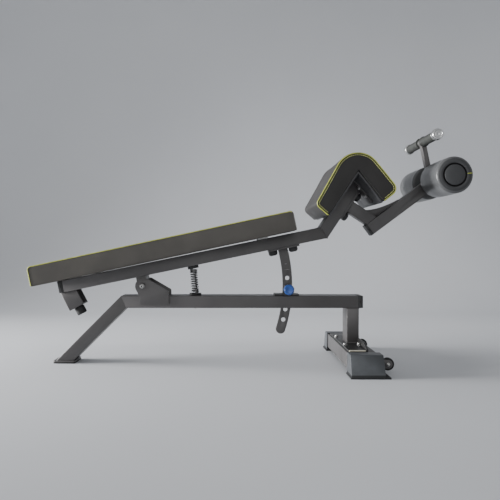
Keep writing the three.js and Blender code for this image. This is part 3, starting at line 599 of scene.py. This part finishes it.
def between(arcs, first, last):
    """The outline from the middle of corner first to the middle of corner last."""
    points = arcs[first][len(arcs[first]) // 2 :]
    i = (first + 1) % len(arcs)
    while i != last:
        points = points + arcs[i]
        i = (i + 1) % len(arcs)
    return points + arcs[last][: len(arcs[last]) // 2 + 1]


def coons(bottom, right, top, left):
    """Grid of points inside four matching sides; bottom and top run one way, left and right the other."""
    n, m = len(bottom) - 1, len(left) - 1
    u = np.linspace(0, 1, n + 1)[:, None, None]
    v = np.linspace(0, 1, m + 1)[None, :, None]
    b, t = bottom[:, None, :], top[:, None, :]
    lf, r = left[None, :, :], right[None, :, :]
    corners = ((1 - u) * (1 - v) * bottom[0] + u * (1 - v) * bottom[-1]
               + (1 - u) * v * top[0] + u * v * top[-1])
    return (1 - v) * b + v * t + (1 - u) * lf + u * r - corners


def inset_closed(loop, distance):
    """A closed loop moved inwards, for a loop that runs anticlockwise."""
    back = loop - np.roll(loop, 1, axis=0)
    ahead = np.roll(loop, -1, axis=0) - loop
    along = back / (np.linalg.norm(back, axis=1)[:, None] + 1e-9)
    along = along + ahead / (np.linalg.norm(ahead, axis=1)[:, None] + 1e-9)
    along /= np.linalg.norm(along, axis=1)[:, None] + 1e-9
    return loop + distance * np.stack([-along[:, 1], along[:, 0]], axis=1)


def upholstered(sides, width, rounding, step=6.0):
    """Points and faces of a pad: a profile of four matching sides, swept across the width.

    sides is (bottom, right, top, left) with bottom and top from left to right, left and right upwards.
    """
    bottom, right, top, left = sides
    loop = np.concatenate([bottom[:-1], right[:-1], top[::-1][:-1], left[::-1][:-1]])
    count = len(loop)
    n, m = len(bottom) - 1, len(left) - 1
    half = width / 2
    edge = [(0.0, rounding), (rounding * 0.3, rounding * 0.29), (rounding, 0.0)]
    rows = max(2, round((width - 2 * rounding) / step))
    inner = np.linspace(rounding, width - rounding, rows + 1)[1:-1]
    layers = edge + [(y, 0.0) for y in inner] + [(width - y, inset) for y, inset in edge[::-1]]
    points, faces = [], []
    for y, inset in layers:
        for x, z in inset_closed(loop, inset):
            points.append((x, y - half, z))
    for k in range(len(layers) - 1):
        for i in range(count):
            j = (i + 1) % count
            a, b = k * count, (k + 1) * count
            faces.append((a + i, a + j, b + j, b + i))
    for layer, y in ((0, -half), (len(layers) - 1, half)):
        ring = inset_closed(loop, layers[layer][1])
        ring_bottom = ring[: n + 1]
        ring_right = ring[n : n + m + 1]
        ring_top = ring[n + m : 2 * n + m + 1][::-1]
        ring_left = np.concatenate([ring[2 * n + m :], ring[:1]])[::-1]
        grid = coons(ring_bottom, ring_right, ring_top, ring_left)
        index = np.zeros((n + 1, m + 1), int)
        index[:, 0] = layer * count + np.arange(n + 1)
        index[n, :] = layer * count + n + np.arange(m + 1)
        index[:, m] = layer * count + (n + m + np.arange(n + 1))[::-1]
        index[0, 1:] = layer * count + (2 * n + m + np.arange(m))[::-1]
        for i in range(1, n):
            for j in range(1, m):
                index[i, j] = len(points)
                points.append((grid[i, j, 0], y, grid[i, j, 1]))
        for i in range(n):
            for j in range(m):
                face = (index[i, j], index[i + 1, j], index[i + 1, j + 1], index[i, j + 1])
                faces.append(tuple(int(f) for f in (face if layer == 0 else face[::-1])))
    return points, faces


CLOTH_STEPS = 20
CLOTH_SETTINGS = {
    "quality": 6,
    "mass": 0.3,
    "tension_stiffness": 60,
    "compression_stiffness": 60,
    "shear_stiffness": 25,
    "bending_stiffness": 4,
    "use_pressure": True,
}


def inflate(obj, held, limit, pressure=4.0):
    """Cloth pressure on a closed cover. held is each point's share that stays; limit is in metres."""
    scene = bpy.context.scene
    rest = np.array([v.co for v in obj.data.vertices], float)
    group = obj.vertex_groups.new(name="held")
    for i, share in enumerate(held):
        if share > 0:
            group.add([i], float(share), "REPLACE")
    cloth = obj.modifiers.new("cover", "CLOTH")
    for setting, value in CLOTH_SETTINGS.items():
        setattr(cloth.settings, setting, value)
    cloth.settings.uniform_pressure_force = pressure
    cloth.settings.effector_weights.gravity = 0
    cloth.settings.vertex_group_mass = "held"
    cloth.point_cache.frame_start = 1
    cloth.point_cache.frame_end = CLOTH_STEPS
    for step in range(1, CLOTH_STEPS + 1):
        scene.frame_set(step)
    shown = obj.evaluated_get(bpy.context.evaluated_depsgraph_get())
    moved = np.array([v.co for v in shown.data.vertices], float) - rest
    obj.modifiers.remove(cloth)
    obj.vertex_groups.remove(group)
    scene.frame_set(1)
    length = np.linalg.norm(moved, axis=1)[:, None] + 1e-9
    moved *= limit * np.tanh(length / limit) / length
    obj.data.vertices.foreach_set("co", (rest + moved).astype(np.float32).ravel())
    obj.data.update()
    return obj


def subdivide(obj):
    """One level of subdivision, applied."""
    modifier = obj.modifiers.new("smooth", "SUBSURF")
    modifier.levels = modifier.render_levels = 1
    shown = obj.evaluated_get(bpy.context.evaluated_depsgraph_get())
    mesh = bpy.data.meshes.new_from_object(shown)
    obj.modifiers.remove(modifier)
    old = obj.data
    obj.data = mesh
    bpy.data.meshes.remove(old)
    mesh.polygons.foreach_set("use_smooth", [True] * len(mesh.polygons))
    return obj


def ruffle(obj, amount, scale, calm=None):
    """Small seeded waves in the cover, in metres; calm gives points that stay as they are."""
    for v in obj.data.vertices:
        if calm is not None and calm(v.co):
            continue
        v.co += v.normal * (amount * noise.noise(v.co * scale))
    obj.data.update()


def pad_cover(name, sides, width, place, material, node, held_below, seam, swell):
    """A pad that is blown up a little between its seams and its board."""
    points, faces = upholstered(sides, width, rounding=3.0)
    cover = add_mesh(name, points, faces, material, place)
    inverse = place.inverted()
    seam_at = np.array([tuple(p) for p in seam])
    held = []
    for v in cover.data.vertices:
        p = (inverse @ v.co) / MM
        gap = np.hypot(seam_at[:, 0] - p.x, seam_at[:, 1] - p.z).min()
        across = width / 2 - abs(p.y)
        near_seam = math.hypot(gap, across)
        held.append(1.0 if held_below(p) or near_seam < 5 else 0.0)
    inflate(cover, held, swell * MM)
    subdivide(cover)
    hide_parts(node)
    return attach(cover, "bench")


def inside_seam(seam, distance, pitch):
    """Points along a profile seam, moved into the side panel by a distance."""
    loop = np.array([tuple(p) for p in seam])
    path = spaced(loop, round(np.linalg.norm(np.diff(loop, axis=0), axis=1).sum() / pitch))
    ahead = np.gradient(path, axis=0)
    ahead /= np.linalg.norm(ahead, axis=1)[:, None]
    return path + distance * np.stack([-ahead[:, 1], ahead[:, 0]], axis=1)


def run_piping(name, seam, width, place, radius=1.9, inset=3.2):
    """Cord covers round the near and far side panels."""
    solid = Solid()
    path = inside_seam(seam, inset, 4)
    for side in (-1, 1):
        y = side * (width / 2 + 0.6)
        solid.take(*swept([(x, y, z) for x, z in path], radius, 10))
    return solid.make(name, PIPING, "bench", place)


BENCH_PAD = {"start": -417.5, "end": 659, "bottom": 91.2, "top": 173.7, "width": 300}


def bench_pad():
    p = BENCH_PAD
    sunk = 0.8
    arcs = rounded_corners([
        (p["start"], p["bottom"], 4),
        (p["end"], p["bottom"], 4),
        (p["end"], p["top"] - sunk, 16),
        (p["start"], p["top"] - sunk, 16),
    ])
    along, up = 176, 13  # steps along the pad and through its thickness
    sides = (
        spaced(between(arcs, 0, 1), along),
        spaced(between(arcs, 1, 2), up),
        spaced(between(arcs, 2, 3)[::-1], along),
        spaced(between(arcs, 3, 0)[::-1], up),
    )
    seam = between(arcs, 2, 0)
    held = lambda q: q.z < p["bottom"] + 3
    pad_cover("bench_pad_cover", sides, p["width"], PADS, PAD_VINYL, "bench_pad", held, seam, 1.5)
    run_piping("bench_pad_piping", seam, p["width"], PADS)


KNEE_PAD_WIDTH = 400
KNEE_APEX = Vector((260, 37))
KNEE_SLOPE = math.radians(-107.6)
KNEE_LIMB = Vector((math.cos(KNEE_SLOPE), math.sin(KNEE_SLOPE)))
KNEE_OUT = Vector((-KNEE_LIMB.y, KNEE_LIMB.x))


def knee_pad():
    limb = lambda length, out: KNEE_APEX + KNEE_LIMB * length + KNEE_OUT * out
    arcs = rounded_corners([
        (47, 37, 4),
        (KNEE_APEX.x, KNEE_APEX.y, 0),
        (*limb(157, 0), 6),
        (*limb(157, 76), 30),
        (369, 128, 92),
        (56, 105, 23),
    ])
    left, right, up = 44, 32, 12
    inner = np.concatenate([spaced(between(arcs, 0, 1), left)[:-1], spaced(between(arcs, 1, 2), right)])
    outer_left = spaced(between(arcs, 4, 5)[::-1], left)
    outer_right = spaced(between(arcs, 3, 4)[::-1], right)
    outer = np.concatenate([outer_left[:-1], outer_right])
    sides = (
        inner,
        spaced(between(arcs, 2, 3), up),
        outer,
        spaced(between(arcs, 5, 0)[::-1], up),
    )
    seam = between(arcs, 2, 0)
    held = lambda q: np.hypot(inner[:, 0] - q.x, inner[:, 1] - q.z).min() < 3
    pad_cover("knee_pad_cover", sides, KNEE_PAD_WIDTH, KNEE, KNEE_VINYL_PAINTED_SHADE, "knee_pad", held, seam, 5.5)
    run_piping("knee_pad_piping", seam, KNEE_PAD_WIDTH, KNEE)
    knee_stitching(seam)


def knee_stitching(seam):
    """A row of contrast stitches on the side panels, a little way inside the piping."""
    path = inside_seam(seam, 10.5, 2)
    length = np.linalg.norm(np.diff(path, axis=0), axis=1).sum()
    pitch, stitch = 8.0, 5.6
    fine = spaced(path, round(length))
    solid = Solid()
    cover = bpy.data.objects["knee_pad_cover"]
    inverse = KNEE.inverted()
    for side in (-1, 1):
        start = 6
        while start + stitch < len(fine) - 6:
            piece = []
            for k in range(7):
                x, z = fine[int(start + stitch * k / 6)]
                p = KNEE @ (Vector((x, side * (KNEE_PAD_WIDTH / 2 + 30), z)) * MM)
                hit, where, _, _ = cover.ray_cast(p, KNEE.to_3x3() @ Vector((0, -side, 0)))
                y = ((inverse @ where) / MM).y if hit else side * KNEE_PAD_WIDTH / 2
                lift = 0.7 - 1.5 * abs(k / 3 - 1) ** 4
                piece.append((x, y + side * lift, z))
            solid.take(*swept(piece, 1.1, 6))
            start += pitch
    solid.make("knee_pad_stitching", THREAD, "bench", KNEE)


# ---------------------------------------------------------------- rollers and handle

ROLLER_RADIUS = 70
ROLLER_INNER, ROLLER_OUTER = 50, 256


def roller(name, side):
    """Foam roller with a slightly wavy cover, a grooved end, a disc cap and a coloured seam tag."""
    body = f"roller_{name}"
    axis = (0, side, 0)
    start, end = ROLLER_INNER, ROLLER_OUTER
    cover = Solid()
    profile = [(16, start + 2), (58, start + 1)]
    profile += arc_profile(ROLLER_RADIUS - 8, start + 8.5, 8, -90, 0)
    rows = 34
    for k in range(1, rows):
        along = k / rows
        bulge = 0.7 * math.sin(math.pi * along) ** 0.5
        profile.append((ROLLER_RADIUS + bulge, start + 8.5 + (end - start - 19) * along))
    profile += arc_profile(ROLLER_RADIUS - 10, end - 10.5, 10, 0, 82)
    cover.take(*turned(profile, (0, 0, 0), axis, 96))
    made = cover.make(f"{body}_cover", ROLLER_VINYL, None, AXLE)
    ruffle(made, 0.0006, 34)
    held = []
    for v in made.data.vertices:
        p = (AXLE.inverted() @ v.co) / MM
        held.append(1.0 if math.hypot(p.x, p.z) < ROLLER_RADIUS - 6 else 0.0)
    inflate(made, held, 0.0012)
    subdivide(made)
    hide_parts(body)
    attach(made, body)

    # The end ring and disc take the painted-shade vinyl; the groove is painted black for shade.
    face = Solid()
    ring = [(61.5, end - 1.2), (58, end + 0.1), (51, end + 0.9), (47, end + 0.4), (45.2, end - 1)]
    face.take(*turned(ring, (0, 0, 0), axis, 96))
    groove = [(45.2, end - 1), (44.6, end - 6), (39.6, end - 6), (39.4, end - 1)]
    face.take(*turned(groove, (0, 0, 0), axis, 96), tone=1)
    face.make(f"{body}_end", [ROLLER_END_PAINTED_SHADE, GAP_PAINTED_SHADE], body, AXLE)

    cap = Solid()
    disc = [(39.4, end - 6), (39.2, end - 0.6), (38.2, end + 0.9), (36, end + 1.4), (20, end + 2.1)]
    cap.take(*turned(disc + [(0, end + 2.3)], (0, 0, 0), axis, 80))
    made = cap.make(f"{body}_disc", ROLLER_END_PAINTED_SHADE, body, AXLE)
    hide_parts(f"roller_cap_{name}")

    seam_angle = math.radians(-6)
    path = []
    for radius, y in [(47, end + 1.1), (56, end + 0.8), (61, end - 0.2), (66, end - 4), (69.2, end - 9)]:
        path.append((radius * math.cos(seam_angle), side * y, radius * math.sin(seam_angle)))
    tag = Solid()
    tag.take(*swept(spaced(path, 24), 1.7, 8))
    tag.make(f"{body}_seam_tag", PIPING, body, AXLE)


def arc_profile(radius_at, height_at, radius, start, end, count=7):
    """(radius, height) points of an arc, with angles from the outward direction towards the end."""
    points = []
    for k in range(count):
        angle = math.radians(start + (end - start) * k / (count - 1))
        points.append((radius_at + radius * math.cos(angle), height_at + radius * math.sin(angle)))
    return points


def handle_end(name, side):
    """Ribbed grip with flanged ends and a turned aluminium cap."""
    axis = (0, side, 0)
    grip = Solid()
    profile = [(14.3, 22), (20.5, 22), (22, 23.5), (22, 25), (19.5, 28)]
    ribs = 46
    for k in range(ribs + 1):
        y = 29 + 138 * k / ribs
        profile.append((18.1 if k % 2 else 17.3, y))
    profile += [(18.6, 169), (19.4, 170.5), (18.8, 171.2), (14.3, 171.2)]
    grip.take(*turned(profile, (0, 0, 0), axis, 48))
    made = grip.make(f"handle_grip_{name}_ribbed", GRIP, "bench", HANDLE)
    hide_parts(f"handle_grip_{name}")
    cap = Solid()
    barrel = [(14.3, 171.6), (19.5, 171.6), (21.6, 173.2), (22, 175), (22, 178), (21, 179), (21, 180),
              (22, 181), (22, 194), (21.2, 197), (19, 199.3), (16.4, 200)]
    face = [(15.6, 199.2), (14.8, 197.6), (9, 197.2), (8.2, 198.4), (6.4, 198.8), (5.6, 197.6), (0, 197.4)]
    cap.take(*turned(barrel + face, (0, 0, 0), axis, 64))
    made = cap.make(f"handle_cap_{name}_turned", ALUMINIUM, "bench", HANDLE)
    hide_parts(f"handle_cap_{name}")


# ---------------------------------------------------------------- spring, pin and wheels

def lift_spring():
    """Open coil spring with closed ends that runs from the base to the bench."""
    bottom = Vector(SPRING_FOOT)
    top = (BENCH @ (Vector((SPRING_SEAT_U, 0, SPRING_SEAT_V)) * MM)) / MM
    axis = top - bottom
    turn = frame_towards(axis)
    wire, coil, turns, closed = 2.6, 13.3, 12.0, 2.2
    clear = wire + 0.3
    length = axis.length - 2 * clear
    path = []
    steps = int(turns * 28)
    shut = 2 * wire * closed
    for k in range(steps + 1):
        t = turns * k / steps
        if t < closed:
            height = shut * t / closed
        elif t > turns - closed:
            height = length - shut * (turns - t) / closed
        else:
            height = shut + (length - 2 * shut) * (t - closed) / (turns - 2 * closed)
        angle = 2 * math.pi * t
        local = Vector((coil * math.cos(angle), coil * math.sin(angle), clear + height))
        path.append(bottom + turn @ local)
    solid = Solid()
    solid.take(*swept(path, wire, 10))
    made = solid.make("lift_spring_coil", SPRING_STEEL, None)
    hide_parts("lift_spring")
    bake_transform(made)


def pull_pin():
    """Fluted knob with a dished face, and the threaded collar that the pin slides in."""
    knob = Solid()
    centre = (PIN_X, 0, PIN_Z)
    outer = [(12, 66), (18, 69), (21, 72), (21.7, 76), (21.7, 85), (21, 88.5), (19.5, 90.8), (17, 92),
             (14, 92), (13, 91.4), (0, 91)]
    knob.take(*turned(outer[:2], centre, (0, -1, 0), 96))
    knob.take(*turned(outer[1:8], centre, (0, -1, 0), 96, flutes=12, depth=0.7))
    knob.take(*turned([(16.4, 92)] + outer[8:], centre, (0, -1, 0), 96))
    made = knob.make("pin_knob_fluted", BLUE, "pin")
    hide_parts("pin_knob")
    collar = Solid()
    # The bore's corners are at 9.7, so that its flats clear the pin, which is 8 in radius.
    collar.take(*turned([(9.7, 46.3), (13.6, 46.3), (13.6, 50.5), (12.8, 51.3), (9.7, 51.3)], centre,
                        (0, -1, 0), 6))
    thread = [(8.4, 51.3), (10.2, 51.3)]
    for k in range(4):
        thread += [(10.6, 51.6 + k * 0.9), (9.8, 52.05 + k * 0.9)]
    collar.take(*turned(thread + [(9.6, 55.2), (8.4, 55.2)], centre, (0, -1, 0), 32))
    collar.make("pin_collar", STEEL, "base")


def both_sides(half_profile):
    """A profile that is the same on both sides of height 0, from its half with positive heights."""
    return [(radius, -height) for radius, height in half_profile] + half_profile[::-1]


def transport_wheel(name, side):
    """Ribbed tyre on a plastic hub, with its steel axle bolt in the fork."""
    centre = (WHEEL_X, side * WHEEL_Y, WHEEL_Z)
    wheel = Solid()
    half = 9.6
    tyre = [(15.5, half - 1), (17, half - 0.2), (21, half), (23.3, half - 1.6), (24, half - 3.6)]
    tyre += [(24, 1.4), (23.2, 0.8)]  # one side of the groove round the tread
    wheel.take(*turned(both_sides(tyre), centre, (0, 1, 0), 64))
    bore = 5.4
    hub = [(bore, half + 0.2), (6.5, half + 0.2), (7.4, half - 1), (9, half - 2.6), (14, half - 2.8),
           (15.5, half - 1)]
    wheel.take(*turned(both_sides(hub), centre, (0, 1, 0), 64), tone=1)
    made = wheel.make(f"wheel_{name}_tyre", [RUBBER, BLACK_PLASTIC], f"wheel_{name}")
    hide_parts(f"wheel_{name}")
    bolt = Solid()
    for face in (-1, 1):
        where = (WHEEL_X, side * WHEEL_Y + face * 13.6, WHEEL_Z)
        add_bolt(bolt, where, (0, face, 0), across=9, height=3.6, washer=7.2)
    bolt.make(f"wheel_{name}_bolt", STEEL, "base")


# ---------------------------------------------------------------- fasteners, welds and marks

def fasteners():
    """Bolts on the base plate, pivot, spring seat and knee bracket, and the base plate's edge strip."""
    base = Solid()
    for x in (407, 462):
        for y in (-105, 105):
            add_bolt(base, (x, y, BASE_PLATE_TOP), (0, 0, 1), across=13, height=6.5, washer=10)
    base.make("base_plate_bolts", STEEL, "base")
    strip = Solid()
    strip.take(*swept(line((POST_X - 48, -221, 81.2), (POST_X + 16, -221, 81.2), 4), 3.0, 8))
    strip.make("base_plate_edge_strip", EDGE_STRIP, "base")

    pivot = Solid()
    x, _, z = PIVOT
    add_bolt(pivot, (x, -68.2, z), (0, -1, 0), across=16, height=5, washer=0.5, socket=True)
    pivot.make("pivot_bolt_head", [STEEL, GAP_PAINTED_SHADE], "base")

    nub = Solid()
    add_bolt(nub, (SPRING_FOOT[0], 0, BEAM_BOTTOM), (0, 0, -1), across=10, height=4, washer=8)
    nub.make("spring_bolt", STEEL, "base")

    knee = Solid()
    inside = -KNEE_OUT * 11.9
    for length in (62, 104):
        for y in (-58, 58):
            at = KNEE_APEX + KNEE_LIMB * length + inside
            add_bolt(knee, (at.x, y, at.y), (-KNEE_OUT.x, 0, -KNEE_OUT.y), across=11, height=5, washer=9)
    knee.make("knee_bracket_bolts", STEEL, "bench", KNEE)


def welds():
    """Rippled beads where the tubes and plates of the frame meet."""
    bead = dict(sides=8, ripple=0.13, pitch=3.2)
    base = Solid()
    for x0, x1, y0, y1, z, r in [
        (POST_X - 25, POST_X + 25, -50, 50, BASE_PLATE_TOP + 0.6, 2.6),
        (POST_X - 25, POST_X + 25, -50, 50, BEAM_BOTTOM - 0.8, 2.2),
    ]:
        loop = route((x0, y0, z), (x1, y0, z), (x1, y1, z), (x0, y1, z), (x0, y0, z))
        base.take(*swept(loop[:-1], r, closed=True, **bead))
    base.make("welds_base", PAINT, "base")

    bench = Solid()
    slope = math.tan(math.radians(KNEE_TURN / 2))
    for y in (-50.2, 50.2):
        low = (BEND_U + 24 * slope, y, BENCH_TUBE_V - 24)
        high = (BEND_U - 24 * slope, y, BENCH_TUBE_V + 24)
        bench.take(*swept(line(low, high), 1.6, **bead))
    for v, sign in ((25.2, 1), (-25.2, -1)):
        u = BEND_U - v * slope
        bench.take(*swept(line((u, -46, BENCH_TUBE_V + v), (u, 46, BENCH_TUBE_V + v)), 1.6, **bead))
    bench.make("welds_bend", PAINT, "bench", BENCH)


def slot_mark(solid, centre, along, outwards, length, width=3.6):
    """A small latch slot, its floor painted black for shade, with a thin raised rim on the side of an end
    cap.
    """
    centre, along, outwards = Vector(centre), Vector(along).normalized(), Vector(outwards).normalized()
    across = outwards.cross(along)
    ring = []
    for k in range(28):
        angle = 2 * math.pi * k / 28
        reach = (length - width) / 2 * (1 if math.cos(angle) >= 0 else -1)
        bow = width / 2 * math.cos(angle)
        ring.append(along * (reach + bow) + across * (width / 2 * math.sin(angle)))
    points = []
    for lift, scale in ((0.35, 1), (0.12, 0.8), (-0.3, 1.15)):
        points += [centre + outwards * lift + p * scale for p in ring]
    count = len(ring)
    band = lambda a, b: [(a + i, a + (i + 1) % count, b + (i + 1) % count, b + i) for i in range(count)]
    solid.take(points, band(0, count) + band(2 * count, 0))
    # The slot's floor is painted black for shade.
    solid.take(points[count : 2 * count], [tuple(range(count))], tone=1)


def cap_slots():
    """Latch slots on the end caps of the beam, the bench tube and the leg tube."""
    for name, place, centre, along, half, length, body in [
        ("beam_cap_slots", ROW, (479, 0, 252), (0, 0, 1), 50, 15, "base"),
        ("bench_tube_cap_slots", BENCH, (-331, 0, BENCH_TUBE_V), (0, 0, 1), 50, 19, "bench"),
        ("leg_tube_cap_slots", LEG, (-LEG_REACH + 6, 0, 0), (0, 0, 1), 25, 16, "bench"),
    ]:
        solid = Solid()
        for side in (-1, 1):
            at = (centre[0], side * half, centre[2])
            slot_mark(solid, at, along, (0, side, 0), length)
        solid.make(name, [BLACK_PLASTIC, GAP_PAINTED_SHADE], body, place)


def arc_marks():
    """Short plain setting lines on the arc plate, above the holes."""
    solid = Solid()
    for angle, half in ((6.3, 11), (8.6, 5)):
        local = math.radians(angle - BENCH_ANGLE)
        for side in (-1, 1):
            ends = [(r * math.cos(local), side * ARC_FACE_Y, r * math.sin(local))
                    for r in (ARC_RADIUS - half, ARC_RADIUS + half)]
            path = line(*ends, step=2)
            solid.take(*swept(path, 0.9, 8))
    solid.make("arc_setting_lines", INK, "bench", BENCH)


# ---------------------------------------------------------------- studio

def sweep_backdrop():
    """Plain pale paper: a floor that curves up into the back wall."""
    s = Shader("studio_paper")
    blot = s.span(s.noise(0.7, 3), 0, 1, 0.3, 0.7)
    color = s.mix(blot, srgb("d2d4d8"), srgb("d7d9dd"))
    fibre = s.bump(s.noise(300, 4), 0.0002, 0.2)
    paper = s.finish(color=color, rough=0.85, normal=fibre, specular=0.15)
    radius, wall, front, reach, height, step = 1500, 3300, -6500, 7500, 6500, 250
    profile = [(y, 0) for y in range(front, wall - radius, step)]
    for k in range(25):
        angle = math.radians(90 * k / 24)
        profile.append((wall - radius + radius * math.sin(angle), radius - radius * math.cos(angle)))
    profile += [(wall, z) for z in range(radius + step, height + 1, step)]
    points, faces = [], []
    columns = 40
    for y, z in profile:
        for i in range(columns + 1):
            points.append((-reach + 2 * reach * i / columns, y, z - 0.05))
    for r in range(len(profile) - 1):
        for i in range(columns):
            a = r * (columns + 1) + i
            faces.append((a, a + 1, a + columns + 2, a + columns + 1))
    add_mesh("studio_sweep", points, faces, paper)


def add_lamp(name, data, where, towards, power):
    """A lamp at one point that shines towards another."""
    data.energy = power
    lamp = bpy.data.objects.new(name, data)
    lamp.location = where
    lamp.rotation_euler = (Vector(towards) - Vector(where)).to_track_quat("-Z", "Y").to_euler()
    bpy.context.scene.collection.objects.link(lamp)


def area_light(name, where, towards, size, power, spread=180):
    data = bpy.data.lights.new(name, "AREA")
    data.shape = "RECTANGLE"
    data.size, data.size_y = size
    data.spread = math.radians(spread)
    add_lamp(name, data, where, towards, power)


def spot_light(name, where, towards, power, angle):
    data = bpy.data.lights.new(name, "SPOT")
    data.spot_size = math.radians(angle)
    data.spot_blend = 1.0
    data.shadow_soft_size = 0.4
    add_lamp(name, data, where, towards, power)


def studio():
    sweep_backdrop()
    world = bpy.data.worlds.new("studio_air")
    world.use_nodes = True
    background = world.node_tree.nodes["Background"]
    background.inputs["Color"].default_value = (0.97, 0.985, 1.0, 1)
    background.inputs["Strength"].default_value = 0.42
    bpy.context.scene.world = world
    area_light("front_fill", (-0.3, -5.0, 1.8), (0, 0, 0.4), (4, 3), 42)
    area_light("side_left", (-4.4, 0.0, 0.7), (0, 0, 0.55), (2.2, 1.2), 126, spread=70)
    spot_light("floor_glow", (0.3, 1.0, 3.6), (0.35, 2.2, 0.0), 113, 80)
    spot_light("wall_glow", (-0.2, -1.2, 3.0), (-0.3, 3.2, 0.8), 77, 92)


def camera():
    data = bpy.data.cameras.new("camera")
    data.sensor_width = 36
    data.lens = 43.488
    data.shift_x = 0.03
    data.shift_y = -0.008
    made = bpy.data.objects.new("camera", data)
    made.location = (-0.0345, -2.527, 0.4818)
    made.rotation_euler = (math.radians(90), 0, 0)
    bpy.context.scene.collection.objects.link(made)
    bpy.context.scene.camera = made


# ---------------------------------------------------------------- build

dress_cad_nodes()
bench_pad()
knee_pad()
for end_name, end_side in (("near", -1), ("far", 1)):
    roller(end_name, end_side)
    handle_end(end_name, end_side)
    transport_wheel(end_name, end_side)
lift_spring()
pull_pin()
fasteners()
welds()
cap_slots()
arc_marks()
studio()
camera()
